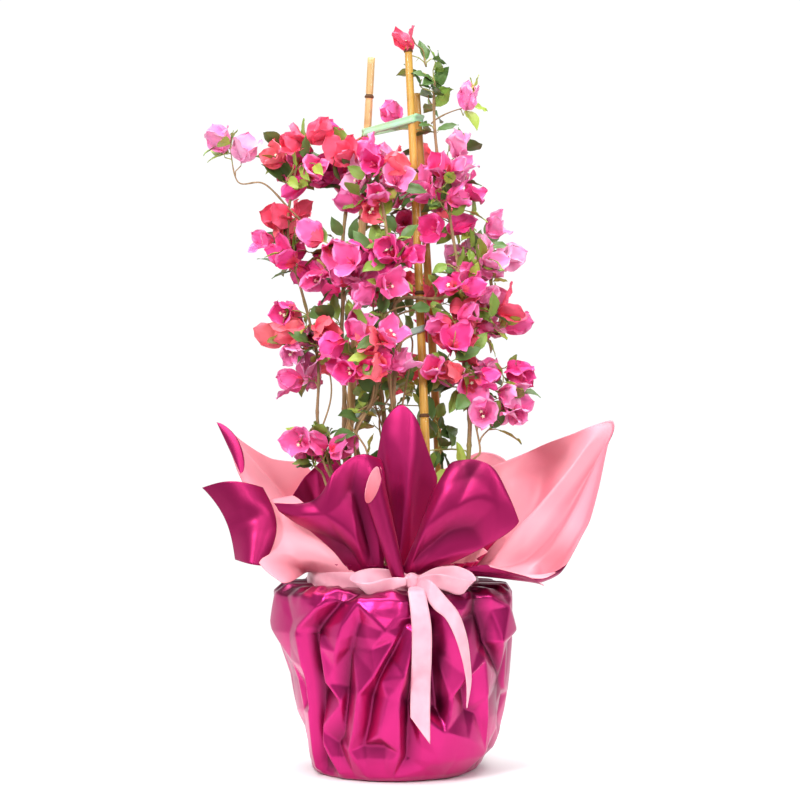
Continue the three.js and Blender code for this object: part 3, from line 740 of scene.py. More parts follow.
wood = Joined()
TWIG_SIDES = 6
THORN_EVERY = 4  # points of a twig from one thorn to the next
THORN_RADII = [0.5 * MM, 0.35 * MM, 0.05 * MM]
for path, radii in shoots:
    wood.add(tube(path, radii, TWIG_SIDES), 1)
for indices in twigs:
    path = places[indices]
    radii = thickness[indices]
    radii[0] = min(radii[0], 1.3 * radii[1])
    tone = 1 if radii[len(radii) // 2] > 1.0 * MM or chance.random() < 0.25 else 0
    wood.add(tube(path, radii, TWIG_SIDES), tone)
    for k in range(2, len(indices) - 1, THORN_EVERY):
        outward = np.cross(ways[indices[k]], [chance.gauss(0, 1) for _ in range(3)])
        outward /= np.linalg.norm(outward)
        reach = chance.uniform(4, 8) * MM
        spine = path[k] + np.outer([0, 0.5, 1], outward * reach + ways[indices[k]] * 0.3 * reach)
        wood.add(tube(spine, THORN_RADII, 4), tone)

# ------------------------------------------------------------------ leaves
# Thin, pointed oval leaves, 15 to 32 mm long and set alternately along the last part of a twig,
# folded a little at the midrib and arched. Old ones are deep green and young ones yellow-green.

LEAF_TONES = {
    "mature_leaf_dark": "#5C7C40",
    "mature_leaf_green": "#83A044",
    "leaf_bright_green": "#A3B84C",
    "young_leaf_yellow_green": "#BBC45E",
}
# Leaves have a thin wax, so that their upper faces catch a soft light.
leaf_materials = [
    new_material(name, {"Base Color": srgb(code), "Roughness": 0.42, "IOR": 1.45})[0]
    for name, code in LEAF_TONES.items()
]
LEAF_ROWS, LEAF_COLUMNS = 9, 7
leaf_grid = grid_faces(LEAF_ROWS, LEAF_COLUMNS)
leaves = Joined()


def blade(rows, columns, length, width, fold, arch, wave, roundness):
    """A leaf or bract in its own plane: X across, Y from its foot to its tip, Z its face."""
    t = np.linspace(0, 1, rows)[:, None]
    w = np.linspace(-1, 1, columns)[None, :]
    outline = np.sin(np.pi * t**0.78) ** roundness * (1 - 0.1 * t) + 0.02
    outline = outline * (1 - np.clip((t - 0.86) / 0.14, 0, 1) * 0.92)
    phase = [chance.uniform(0, 6.28) for _ in range(6)]
    outline = outline * (1 + wave / MM * 0.03 * np.sin(13 * t + phase[4] + (w > 0) * phase[5]))
    x = w * outline * width / 2
    y = t * length - 0.10 * length * (np.abs(w) ** 2) * (1 - t) ** 3
    z = fold * np.abs(x) + arch * length * t**2
    ripple = np.sin(9 * t + phase[0] + 2.4 * w) + 0.7 * np.sin(17 * t + phase[1] - 3 * w)
    veins = np.sin(16 * np.abs(w) + 13 * t + phase[2]) * (0.3 + 0.7 * np.abs(w))
    z = z + wave * (np.abs(w) ** 1.3 * ripple + 0.3 * veins + 0.4 * np.sin(5 * w + phase[3]) * t)
    return np.stack([x, y + 0 * w, z], -1).reshape(-1, 3)


def aim(points, origin, ahead, face):
    """Turns a blade so that its Y axis is `ahead` and its Z axis is nearest to `face`."""
    ahead = ahead / np.linalg.norm(ahead)
    across = np.cross(ahead, face)
    across /= max(np.linalg.norm(across), 1e-9)
    face = np.cross(across, ahead)
    return origin + points @ np.stack([across, ahead, face])


def add_leaf(origin, ahead, size, tone):
    """A leaf on its stalk, with its face up and out from the plant."""
    outward = np.array([*(origin[:2] - CROWN_AXIS), 0.0])
    outward /= max(np.linalg.norm(outward), 1e-6)
    face = np.array([0.35 * chance.gauss(0, 1), 0.35 * chance.gauss(0, 1) - 0.2, 0.7]) + 0.75 * outward
    width = size * chance.uniform(0.56, 0.68)
    arch = -0.28 * chance.random()
    shape = blade(LEAF_ROWS, LEAF_COLUMNS, size, width, 0.28, arch, 0.8 * MM, 0.85)
    stalk = size * 0.22
    ahead = ahead / np.linalg.norm(ahead)
    bend = np.array([origin, origin + ahead * stalk * 0.5 + (0, 0, 0.4 * MM), origin + ahead * stalk])
    wood.add(tube(bend, [0.55 * MM, 0.45 * MM, 0.4 * MM], 4), 0)
    leaves.add((aim(shape, bend[-1], ahead, face), leaf_grid), tone)


GOLDEN_TURN = math.radians(137.5)  # from each leaf to the next round its twig
YOUNG_SHARE = 0.14  # of the twigs bear young leaves
INNER_CROWN = 0.075  # metres from the crown's axis, within which leaves are darker
for place, kind, _, _, indices in tips:
    if kind == "bare":
        continue
    young = chance.random() < YOUNG_SHARE
    if kind == "alone":
        continue
    count = chance.choice((2, 3, 4)) if kind == "spray" else chance.choice((0, 1, 1))
    turn = chance.uniform(0, 6.28)
    for k in range(count):
        at = max(0, len(indices) - 1 - k)
        origin, heading = places[indices[at]], ways[indices[at]]
        side = np.cross(heading, (math.cos(turn), math.sin(turn), 0.3))
        side /= np.linalg.norm(side)
        turn += GOLDEN_TURN
        outward = np.array([*(origin[:2] - CROWN_AXIS), 0]) * 3.5
        droop = (0, 0, chance.uniform(-0.45, 0.25))
        ahead = heading * (1.2 if k == 0 else 0.35) + side + outward + droop
        size = chance.uniform(15, 24) if young else chance.uniform(18, 32)
        inner = np.linalg.norm(origin[:2] - CROWN_AXIS) < INNER_CROWN
        tone = chance.choice((2, 3, 3, 2) if young else (0, 0, 1) if inner else (0, 1, 1, 2))
        add_leaf(origin, ahead, size * MM, tone)

leafy = [mass for mass, (heads, sprays, _) in MASSES.items() if sprays > heads]
leaves.make("leaves", leaf_materials, "foliage", leafy)

# ------------------------------------------------------------------ blossom
# Each blossom is three papery bracts, 29 to 38 mm long, round three slender tubes that open in a
# cream star. Bracts age from coral through hot pink to pale pink, and are deeper at the throat.

BRACT_TONES = {
    "bract_pale_pink": "#FFB2DA",
    "bract_pink": "#FD8FC8",
    "bract_hot_pink": "#FA6BB0",
    "bract_magenta": "#F2489A",
    "bract_rose_red": "#F95F80",
    "bract_coral": "#FB7585",
}
# Bracts are dry and papery: strong, flat colour without shine.
bract_materials = [
    new_material(name, {"Base Color": srgb(code), "Roughness": 0.6, "IOR": 1.4})[0]
    for name, code in BRACT_TONES.items()
]
# The small flowers are fleshy: a cream star on a dull pink tube.
cream, _, _ = new_material("flower_cream", {"Base Color": srgb("#FBF3D2"), "Roughness": 0.6})
tube_pink, _, _ = new_material("flower_tube_pink", {"Base Color": srgb("#D9557E"), "Roughness": 0.6})
BRACT_ROWS, BRACT_COLUMNS = 14, 13
bract_grid = grid_faces(BRACT_ROWS, BRACT_COLUMNS)
BRACTS_PARTED = 0.6  # the height between the upper and the lower joined piece
bracts = {"blossom_bracts_lower": Joined(), "blossom_bracts_upper": Joined()}
flowers = Joined()
STAR_POINTS = 5


def add_blossom(base, axis, size, tone, throat):
    """Three bracts and three small flowers on `base`, opening along `axis`."""
    axis = axis / np.linalg.norm(axis)
    side = np.cross(axis, [chance.gauss(0, 1) for _ in range(3)])
    side /= np.linalg.norm(side)
    other = np.cross(axis, side)
    start = chance.uniform(0, 6.28)
    usual_opening = math.radians(chance.uniform(14, 36))
    for k in range(3):
        turn = start + 2 * math.pi * k / 3 + chance.gauss(0, 0.2)
        out = math.cos(turn) * side + math.sin(turn) * other
        length = size * chance.uniform(0.9, 1.1)
        width = length * chance.uniform(0.78, 1.0)
        arch = chance.uniform(-0.02, 0.24)
        opening = usual_opening + math.radians(chance.uniform(-4, 16))
        shape = blade(BRACT_ROWS, BRACT_COLUMNS, length, width, 0.24, arch, 1.8 * MM, 0.58)
        ahead = axis * math.cos(opening) + out * math.sin(opening)
        placed = aim(shape, base + out * 1.2 * MM, ahead, axis * math.sin(opening) - out * math.cos(opening))
        tones = []
        for row in range(BRACT_ROWS - 1):
            for column in range(BRACT_COLUMNS - 1):
                share = (row + 0.5) / (BRACT_ROWS - 1)
                beside = abs((column + 0.5) / (BRACT_COLUMNS - 1) * 2 - 1)
                if share + 0.25 * beside < throat:
                    tones.append(4 if tone > 1 else 2)
                # Painted light: towards its tip and edges a bract is a tone paler, a painted glow of light
                # shining through its thin margins.
                elif tone in (1, 2, 3) and beside + share > 1.4:
                    tones.append(tone - 1)
                else:
                    tones.append(tone)
        part = "blossom_bracts_upper" if base[2] > BRACTS_PARTED else "blossom_bracts_lower"
        bracts[part].add((placed, bract_grid), tones)
        stalk = base + np.outer([0, 0.5, 1], axis * 0.42 * size + out * 0.10 * size)
        flowers.add(tube(stalk, [0.8 * MM, 0.9 * MM, 1.1 * MM], 6), 0)
        if chance.random() < 0.3:
            rays = []
            for r in range(2 * STAR_POINTS):
                angle = math.pi * r / STAR_POINTS
                reach = (2.8 if r % 2 == 0 else 1.4) * MM
                rays.append(stalk[-1] + reach * (math.cos(angle) * side + math.sin(angle) * other))
            star = np.array([stalk[-1] + axis * 0.8 * MM, *rays])
            flowers.add((star, [(0, 1 + r, 1 + (r + 1) % len(rays)) for r in range(len(rays))]), 1)


for place, kind, mass_tone, opens, _ in tips:
    if kind not in ("alone", "head"):
        continue
    outward = np.array([*(place[:2] - CROWN_AXIS), 0])
    outward /= max(np.linalg.norm(outward), 1e-6)
    count = 1 if kind == "alone" else chance.choice((2, 2, 2, 3))
    head_tone = min(max(mass_tone + chance.gauss(0, 0.8), 0), 4)
    turn = chance.uniform(0, 6.28)
    for k in range(count):
        spread = np.array([math.cos(turn), math.sin(turn), chance.uniform(-0.6, 0.8)])
        turn += 2 * math.pi / count
        axis = np.array(opens) if kind == "alone" else outward * 0.45 + spread * 0.9 + (0, 0, 0.1)
        axis = axis / np.linalg.norm(axis)
        base = place + axis * chance.uniform(5, 11) * MM
        wood.add(tube([place, (place + base) / 2, base], [0.5 * MM, 0.45 * MM, 0.6 * MM], 5), 0)
        coral = chance.random() < 0.12 and mass_tone > 1.2
        tone = 5 if coral else int(min(max(round(head_tone + chance.gauss(0, 0.5)), 0), 4))
        throat = chance.choice((0.0, 0.12, 0.25, 0.38)) if tone else 0.12
        add_blossom(base, axis, chance.uniform(29, 38) * MM, tone, throat)

bearing = [mass for mass in MASSES if mass not in leafy]
for name, mesh in bracts.items():
    upper = name == "blossom_bracts_upper"
    stood_for = [mass for mass in bearing if (centres[mass][2] > BRACTS_PARTED) == upper]
    mesh.make(name, bract_materials, "bracts", stood_for)
flowers.make("blossom_flowers", [tube_pink, cream], "bracts")
wood.make("twigs", [new_wood, old_wood], "green_shoot")

# ------------------------------------------------------------------ wrapping film round the pot
# Two-tone gift film: a thin plastic foil with a pearly magenta face and a matt salmon back. It is
# drawn up round the pot, pleated in over the rim and crushed at the neck, with sharp creases.


def crumpled(s, t, folds, spacing, depth, seed, period=None):
    """Heights of a crumpled sheet: flat facets between sharp folds. Each fold is a line of points
    (s, t, height); between the folds, corners stand in or out by chance."""
    chance = np.random.default_rng(seed)
    s_low, s_high = (0, period) if period else (s.min() - spacing, s.max() + spacing)
    t_low, t_high = t.min() - spacing, t.max() + spacing
    across = max(2, round((s_high - s_low) / spacing))
    upward = max(2, round((t_high - t_low) / (1.5 * spacing)))
    shifts = (-period, 0, period) if period else (0,)
    corners, edges, drawn = [], [], [np.zeros((0, 2))]
    for fold in folds:
        for shift in shifts:
            first = len(corners)
            corners += [(a + shift, b, height) for a, b, height in fold]
            edges += [(first + k, first + k + 1) for k in range(len(fold) - 1)]
            line = np.array(fold)[:, :2] + (shift, 0)
            drawn.append(smooth_line(line, np.linspace(0, 1, 12)))
    drawn = np.concatenate(drawn)
    for i in range(across):
        for j in range(upward + 1):
            a = s_low + (i + 0.5 * (j % 2) + chance.uniform(-0.36, 0.36)) * (s_high - s_low) / across
            b = t_low + (j + chance.uniform(-0.36, 0.36)) * (t_high - t_low) / upward
            height = chance.uniform(-depth, depth)
            if len(drawn) and np.hypot(*(drawn - (a, b)).T).min() < 0.5 * spacing:
                continue
            corners += [(a + shift, b, height) for shift in shifts]
    flat, _, triangles, origins, *_ = delaunay_2d_cdt([Vector(c[:2]) for c in corners], edges, [], 0, 1e-7)
    levels = [corners[sources[0]][2] if sources else 0.0 for sources in origins]
    s, t = np.broadcast_arrays(s, t)
    heights = np.zeros(s.shape)
    for triangle in triangles:
        (ax, ay), (bx, by), (cx, cy) = (flat[k] for k in triangle)
        area = (bx - ax) * (cy - ay) - (cx - ax) * (by - ay)
        if abs(area) < 1e-12:
            continue
        wb = ((s - ax) * (cy - ay) - (cx - ax) * (t - ay)) / area
        wc = ((bx - ax) * (t - ay) - (s - ax) * (by - ay)) / area
        inside = (wb >= -1e-9) & (wc >= -1e-9) & (wb + wc <= 1 + 1e-9)
        ha, hb, hc = (levels[k] for k in triangle)
        heights[inside] = (ha + (hb - ha) * wb + (hc - ha) * wc)[inside]
    return heights


def soften(field, passes, wraps=False):
    """Rounds the ridges of a height field a little."""
    for _ in range(passes):
        for axis in (0, 1):
            if axis == 1 and wraps:
                field = 0.5 * field + 0.25 * (np.roll(field, 1, 1) + np.roll(field, -1, 1))
            else:
                padded = np.concatenate([field.take([0], axis), field, field.take([-1], axis)], axis)
                size = field.shape[axis]
                field = 0.5 * field + 0.25 * (
                    padded.take(range(size), axis) + padded.take(range(2, size + 2), axis)
                )
    return field


def push_out(points, heights, wraps=False):
    """Moves each point of a grid along the sheet's normal."""
    down, across = np.gradient(points, axis=(0, 1))
    if wraps:
        across = (np.roll(points, -1, 1) - np.roll(points, 1, 1)) / 2
    normal = np.cross(across, down)
    normal /= np.maximum(np.linalg.norm(normal, axis=2, keepdims=True), 1e-12)
    return points + normal * heights[..., None]


def mark_folds(piece, levels):
    """Stores how far each point stands out of the sheet or lies in a fold of it, about 1 to -1; the film's
    materials paint shade into its folds by it.
    """
    stored = piece.data.attributes.new("fold_level", "FLOAT", "POINT")
    stored.data.foreach_set("value", np.clip(levels, -1, 1).ravel().astype(np.float32))


def fold_shade_share(tree, start, end, most):
    """A share of painted shade that goes from nothing at one fold level to `most` at another."""
    level = add_node(tree, "Attribute", {}, attribute_name="fold_level").outputs["Fac"]
    if start > end:
        limits = {"Value": level, "From Min": end, "From Max": start, "To Min": most, "To Max": 0.0}
    else:
        limits = {"Value": level, "From Min": start, "From Max": end, "To Max": most}
    return add_node(tree, "MapRange", limits).outputs["Result"]


def magenta_film(name, plain, full, fold_shade, constants):
    """Pearly film: cloudy between two magentas, with painted shade, a deep magenta, in its folds, and finely
    rippled.
    """
    film, tree, shader = new_material(name, constants)
    layers = [(uneven(tree, 60 * MM, 3.0), full), (fold_shade_share(tree, 0.1, -0.75, 0.85), fold_shade)]
    show(tree, shader, plain, layers, uneven(tree, 14 * MM, 3.0, distortion=0.6), 0.18, 0.9 * MM)
    return film


# Stretched over the pot the film is glossy, and its flats answer the light one by one.
film_face = magenta_film(
    "pearl_magenta_film",
    "#AC1862",
    "#CA2478",
    # painted shade in the folds
    "#52042C",
    {"Metallic": 0.85, "Roughness": 0.31, "IOR": 1.5, "Coat Weight": 0.12, "Coat Roughness": 0.3},
)

# The back of the film is uncoated: a milky salmon, with shade painted in as a redder salmon where a crease
# stands up.
film_back, tree, shader = new_material("matt_salmon_film", {"Roughness": 0.42, "IOR": 1.5})
layers = [(uneven(tree, 70 * MM, 3.0), "#F9AAB6"), (fold_shade_share(tree, 0.2, 1.0, 0.45), "#D4566F")]
show(tree, shader, "#EE8C9E", layers, uneven(tree, 10 * MM, 4.0), 0.2, 0.8 * MM)

# Height, mean radius, and how much further the right side stands out than the middle.
WRAP_PROFILE = [
    (0.4, 3, 0), (0.4, 93, 0), (3, 98, 2), (28, 111, 8), (70, 120, 9), (115, 128, 8), (155, 138, 3),
    (172, 141, 0), (213, 141, -1), (221, 133, 2), (223.5, 118, 1), (223, 101, 0), (241, 99.6, 0),
]
ROUND, UP = 470, 190
DEGREE = 2.2  # millimetres round the pot for each degree
FOLD_DEPTH = 1.35  # how much deeper the folds are than their heights below
CRUMPLE = {"spacing": 24, "depth": 4.5, "seed": 11}
LEVEL_SPAN = 12  # millimetres of relief that count as a whole fold level

# Folds given one by one, from top to bottom: angle, height, and how far each point stands out.
WRAP_FOLDS = [
    [(-160, 226, 3), (-168, 180, 6), (-153, 139, 3), (-152, 79, 3), (-159, 10, 2)],
    [(-137, 176, 8), (-139, 137, 8), (-142, 81, 7), (-149, 12, 5)],
    [(-131, 168, -10), (-134, 114, -11), (-141, 22, -9)],
    [(-113, 232, 5), (-124, 205, 11), (-136, 180, 9)],
    [(-102, 226, -1), (-116, 209, -4), (-129, 180, -8)],
    [(-127, 160, 2), (-126, 119, 6), (-119, 92, 2)],
    [(-106, 212, 5), (-112, 188, 8), (-117, 156, 5), (-121, 134, 0)],
    [(-106, 190, -3), (-111, 157, -6), (-116, 109, -7), (-122, 53, -5)],
    [(-93, 215, 4), (-100, 198, 8), (-93, 180, 9), (-88, 194, 5)],
    [(-88, 172, 3), (-98, 131, 7), (-107, 106, 8), (-111, 60, 8), (-108, 44, -4)],
    [(-84, 186, -3), (-91, 150, -7), (-101, 104, -7), (-104, 70, -5)],
    [(-79, 178, 5), (-84, 130, 7), (-87, 100, 6), (-86, 40, 6), (-90, 8, 4)],
    [(-80, 140, -6), (-82, 95, -8), (-82, 30, -5)],
    [(-96, 122, 0), (-92, 103, 5), (-97, 58, 6), (-95, 44, -4)],
    [(-73, 199, -8), (-70, 157, -13), (-64, 84, -11)],
    [(-67, 206, 4), (-61, 175, 8), (-53, 127, 10), (-59, 100, 3)],
    [(-58, 186, -3), (-54, 160, 3)],
    [(-52, 112, -6), (-48, 84, -5), (-46, 50, 4), (-38, 10, 3)],
    [(-47, 224, -3), (-43, 196, -9), (-36, 160, -10), (-14, 112, -6), (-3, 88, -4)],
    [(-37, 212, 5), (-26, 200, 9), (-17, 171, 9), (-31, 160, 7)],
    [(-42, 142, 5), (-38, 100, 7), (-28, 31, 4)],
    [(-60, 80, 4), (-62, 62, 6), (-52, 34, 4)],
    [(-136, 60, 2), (-135, 44, 5), (-127, 10, 4)],
    [(-127, 44, -5), (-115, 40, 6), (-105, 5, 4)],
    [(-76, 84, 5), (-66, 35, 7), (-56, 6, 3)],
]

profile = np.array(WRAP_PROFILE)
share = np.linspace(0, 1, 600) * (len(profile) - 1)
fine = np.stack([np.interp(share, range(len(profile)), profile[:, k]) for k in range(3)], -1)
walked = np.concatenate([[0], np.cumsum(np.hypot(*np.diff(fine[:, :2], axis=0).T))])
UNDER_POT = 60  # millimetres of the profile, under the pot, that need no mesh
stations = np.linspace(UNDER_POT, walked[-1], UP)
rows = np.stack([np.interp(stations, walked, fine[:, k]) for k in range(3)], -1)
turn = 2 * np.pi * np.arange(ROUND) / ROUND
degrees = (np.degrees(turn) + 180) % 360 - 180
radius = rows[:, 1:2] + rows[:, 2:3] * np.cos(turn)
height = rows[:, 0:1]
sheet = around(radius, turn, height) * MM

s, t = np.broadcast_arrays(degrees[None] * DEGREE, height)
# At the front the folds are listed; the rest of the way round they fall by chance.
folds = [[(a * DEGREE, b, h) for a, b, h in fold] for fold in WRAP_FOLDS]
chance = random.Random(77)
LOOSE_FOLDS = 17
for k in range(LOOSE_FOLDS):
    at = -8 + (k + chance.uniform(-0.25, 0.25)) * 190 / LOOSE_FOLDS
    lean = chance.uniform(-20, 20)
    size = chance.choice((4, 6, 8)) * (1 if k % 2 else -1.1)
    fold = []
    for level in [chance.uniform(*span) for span in ((196, 226), (150, 180), (90, 120), (14, 60))]:
        at_level = at + lean * (level / 220 - 0.5) + chance.uniform(-2, 2)
        fold.append((at_level * DEGREE, level, size * chance.uniform(0.2, 1.2)))
    folds.append(fold)
s = (s + 180 * DEGREE) % (360 * DEGREE) - 180 * DEGREE
folds = [[(a, b, FOLD_DEPTH * h) for a, b, h in fold] for fold in folds]
relief_mm = crumpled(s, t, folds, **CRUMPLE, period=360 * DEGREE)
gathers = np.sin(23 * turn + 4 * np.sin(2 * turn)) + 0.6 * np.sin(41 * turn + 3 * np.sin(3 * turn))
gather_depth = np.interp(rows[:, 0], [200, 214, 222, 224, 241], [0, 0.4, 1.6, 0.6, 0.5])
foot_and_neck = np.interp(rows[:, 0], [0.4, 10, 206, 221, 224], [0.0, 1.0, 1.0, 0.7, 0.05])
relief_mm = relief_mm * foot_and_neck[:, None] + gathers[None] * gather_depth[:, None]
sheet = push_out(sheet, soften(relief_mm, 1, wraps=True) * MM, wraps=True)
sheet[..., 2] = np.maximum(sheet[..., 2], 0.3 * MM)
# The film lies on the pot's wall and rim, and nowhere inside them.
pot_radius = np.interp(sheet[..., 2] / MM, [0, 194, 196, 207, 209], [92.5, 125, 129.5, 129.5, 60]) * MM
pot_radius = np.where(sheet[..., 2] < 1.5 * MM, 0, pot_radius)
from_axis = np.hypot(sheet[..., 0], sheet[..., 1])
sheet[..., :2] *= np.maximum(1, pot_radius / np.maximum(from_axis, 1 * MM))[..., None]
film_points = sheet.reshape(-1, 3) / MM
# The gathers over the rim count as folds, so that shade is painted into them.
gather_shade = np.clip((sheet[..., 2] / MM - 203) / 16, 0, 1)
fold_levels = np.concatenate([np.zeros((1, ROUND)), relief_mm / LEVEL_SPAN - 0.6 * gather_shade])
inner_ring = sheet[0].mean(axis=0) + (sheet[0] - sheet[0].mean(axis=0)) * 0.03
inner_ring[:, 2] = 0.3 * MM
sheet = np.concatenate([inner_ring[None], sheet])
piece = new_piece(
    "film_round_pot",
    sheet.reshape(-1, 3),
    grid_faces(UP + 1, ROUND, closed=True),
    [film_face],
    "film_outside",
    ["wrap_body"],
)
mark_folds(piece, fold_levels)

# ------------------------------------------------------------------ film collar
# Above the ribbon the same sheet spreads into a ruff: its corners and edges stand up or turn out
# as separate petals, some showing the magenta face and some the salmon back.

COLLAR_FOOT = 236  # millimetres above the ground
FILM_THICKNESS = 0.35 * MM


def straight_line(points, u):
    """Points of the broken line through those points, at shares u of its way."""
    points = np.asarray(points, float)
    place = np.linspace(0, 1, len(points))
    return np.stack([np.interp(u, place, points[:, k]) for k in range(3)], -1)


PETAL_COLUMNS, PETAL_ROWS = 64, 56
CREASE_ROOM = 1.2  # millimetres between columns that leave a crease its full height


def petal_sheet(foot, edge, rise, fall, belly=(0, 0, 0), point=0.0, folds=(), crush=(20, 2.0), seed=1):
    """A petal from its foot, an arc on the neck, to its free edge. Its lines leave the foot along
    `rise` and reach the edge along `fall`; `belly` pushes its middle out, and `point` from 0 to 1
    sharpens the corners of the edge. Folds go by hundredths of its width and height."""
    u, v = np.meshgrid(np.linspace(0, 1, PETAL_COLUMNS), np.linspace(0, 1, PETAL_ROWS))
    turn = np.radians(foot[0] + (foot[1] - foot[0]) * u)
    radial = np.stack([np.cos(turn), np.sin(turn), 0 * turn], -1)
    base = radial * foot[2] + (0, 0, COLLAR_FOOT)
    leave = radial * rise[0] + (0, 0, rise[1])
    brim = point * straight_line(edge, u) + (1 - point) * smooth_line(edge, u)
    v3, v2, v1 = (v**3)[..., None], (v**2)[..., None], v[..., None]
    sheet = base * (2 * v3 - 3 * v2 + 1) + leave * (v3 - 2 * v2 + v1)
    sheet += brim * (3 * v2 - 2 * v3) + np.array(fall) * (v3 - v2)
    sheet += np.array(belly) * (4 * u * (1 - u) * np.sin(0.85 * np.pi * v))[..., None]
    spacing, depth = crush
    # Where the sheet draws in to a point it has no room for creases.
    room = np.clip(np.linalg.norm(np.gradient(sheet, axis=1), axis=2) / CREASE_ROOM, 0, 1)
    heights = crumpled(100 * u, 100 * v, folds, spacing, depth, seed) * np.clip(v * 3, 0, 1) * room
    return push_out(sheet * MM, soften(heights, 1) * MM), heights


# Standing free in the collar it is a softer, redder magenta with broad, dull lights.
film_collar = magenta_film(
    "satin_magenta_film",
    "#9A1050",
    "#B01A62",
    # painted shade in the folds
    "#4C0526",
    {"Metallic": 0.75, "Roughness": 0.42, "IOR": 1.5},
)


def film_piece(name, sheet, replaced, slot="film_outside", levels=None):
    """A sheet of film with its magenta face outwards and its salmon back inwards."""
    rows, columns = sheet.shape[:2]
    faces = grid_faces(rows, columns)
    piece = new_piece(name, sheet.reshape(-1, 3), faces, [film_collar, film_back], slot, replaced)
    mark_folds(piece, np.zeros(rows * columns) if levels is None else levels)
    skin = thicken(piece, FILM_THICKNESS)
    skin.offset = -1
    skin.material_offset = 1
    skin.material_offset_rim = 0
    return piece


PETAL_SPAN = 9  # millimetres of crease that count as a whole fold level

# Each petal's foot is two angles and a radius; the other sizes are millimetres.
PETALS = {
    "petal_back_left": dict(
        foot=(124, 180, 94),
        edge=[
            (-112, 88, 366), (-150, 74, 374), (-188, 60, 398), (-214, 52, 418), (-200, 30, 384),
            (-176, 4, 334),
        ],
        rise=(20, 110), fall=(-60, 0, 50), belly=(6, 8, -14), point=0.5,
        folds=[[(30, 100, 4), (34, 60, 6), (30, 20, 0)], [(70, 100, -4), (62, 50, -6)]],
        crush=(36, 2.5),
    ),
    "petal_left_tongue": dict(
        foot=(-106, -172, 98),
        edge=[(-118, -58, 330), (-150, -56, 318), (-160, -70, 286), (-154, -94, 252), (-128, -106, 232)],
        rise=(20, 20), fall=(-50, -6, 10), belly=(-4, -4, 8),
        folds=[[(30, 95, 0), (26, 50, 5), (24, 15, 0)], [(70, 90, -3), (60, 40, -5)]],
        crush=(36, 1.5), slot="film_inside",
    ),
    "petal_left_inner": dict(
        foot=(132, 165, 86),
        edge=[(-66, 84, 372), (-84, 80, 370), (-100, 72, 356), (-116, 56, 336), (-128, 40, 318)],
        rise=(4, 70), fall=(-10, 6, 40),
        folds=[[(60, 100, 6), (50, 40, 8), (45, 0, 0)]],
        turned=True,
    ),
    "petal_front_left": dict(
        foot=(-120, -96, 97),
        edge=[
            (-138, -84, 322), (-112, -100, 323), (-84, -110, 334), (-62, -112, 362), (-40, -104, 377),
            (-16, -92, 372),
        ],
        rise=(24, 60), fall=(-30, 10, 30), belly=(0, -10, 0),
        folds=[
            [(30, 100, -6), (34, 74, 4), (52, 40, 8), (60, 5, 2)],
            [(-5, 88, 3), (18, 80, 6), (34, 74, 4)],
            [(58, 104, 5), (66, 70, -5), (72, 30, -6)],
            [(84, 104, 4), (86, 60, 6), (88, 20, 2)],
            [(12, 50, -5), (30, 38, -6), (44, 12, -3)],
        ],
        crush=(30, 2.4),
    ),
    "petal_front_tall": dict(
        foot=(-94, -80, 90),
        edge=[
            (-22, -78, 352), (-17, -82, 384), (-10, -86, 416), (8, -88, 436), (24, -88, 424),
            (36, -84, 396), (52, -78, 352),
        ],
        rise=(0, 100), fall=(0, -6, 90), belly=(0, -9, 0),
        folds=[[(60, 104, 3), (62, 60, 7), (60, 10, 4)], [(28, 90, 0), (32, 50, -3), (38, 15, -6)]],
        crush=(50, 1.0),
    ),
    "petal_front_right": dict(
        foot=(-85, -68, 97),
        edge=[
            (50, -112, 344), (62, -122, 370), (80, -130, 376), (100, -132, 374), (117, -132, 362),
            (132, -130, 332), (144, -128, 304),
        ],
        rise=(30, 40), fall=(20, 0, 60), belly=(0, -12, 0),
        folds=[
            [(20, 104, -5), (26, 72, 2), (30, 48, 9), (26, 20, 5)],
            [(30, 48, 9), (52, 60, 4), (78, 82, 6), (92, 104, 2)],
            [(34, 24, -6), (58, 38, -6), (80, 58, -4)],
            [(60, 12, 3), (82, 34, 6), (103, 62, 3)],
            [(52, 104, -3), (48, 80, -5)],
        ],
        crush=(30, 2.4),
    ),
    "petal_right": dict(
        foot=(-42, 44, 97),
        edge=[
            (186, -66, 232), (206, -56, 248), (222, -40, 300), (236, -20, 350), (248, 0, 400),
            (259, 10, 425), (222, 34, 408), (176, 58, 390), (123, 82, 362),
        ],
        rise=(40, 40), fall=(70, 0, 60), belly=(10, 10, -16), point=0.4,
        folds=[
            [(58, 96, 8), (46, 68, 15), (34, 40, 13), (34, 14, 3)],
            [(72, 100, -6), (60, 72, -12), (52, 42, -13), (46, 16, -4)],
            [(90, 100, 8), (80, 72, 14), (70, 46, 13), (62, 18, 3)],
            [(26, 88, 9), (14, 68, 15), (24, 56, 8), (34, 72, 3)],
            [(12, 96, -8), (6, 62, -12), (16, 32, -6)],
            [(86, 40, -8), (78, 20, -8)],
        ],
        crush=(18, 7.0), slot="film_inside",
    ),
    "petal_right_under": dict(
        foot=(-60, -44, 99),
        edge=[(112, -108, 250), (150, -106, 240), (172, -90, 228), (176, -74, 226)],
        rise=(24, 12), fall=(24, 0, -20),
    ),
    "petal_right_back": dict(
        foot=(42, 90, 96),
        edge=[(150, 112, 350), (138, 146, 372), (112, 172, 380), (80, 172, 362), (44, 160, 348)],
        rise=(30, 70), fall=(20, 40, 50), belly=(0, 8, -8),
        folds=[[(42, 104, 4), (40, 50, 8), (38, 10, 2)], [(72, 104, -4), (68, 40, -7)]],
        crush=(26, 3.0),
    ),
    "petal_back": dict(
        foot=(82, 130, 95),
        edge=[(36, 158, 336), (8, 180, 360), (-34, 190, 370), (-66, 176, 362), (-92, 152, 340)],
        rise=(36, 60), fall=(0, 50, 40), belly=(0, 10, -8),
        folds=[[(34, 104, 4), (30, 50, 8), (32, 10, 2)], [(66, 104, -4), (62, 40, -7)]],
        crush=(26, 3.0),
    ),
}
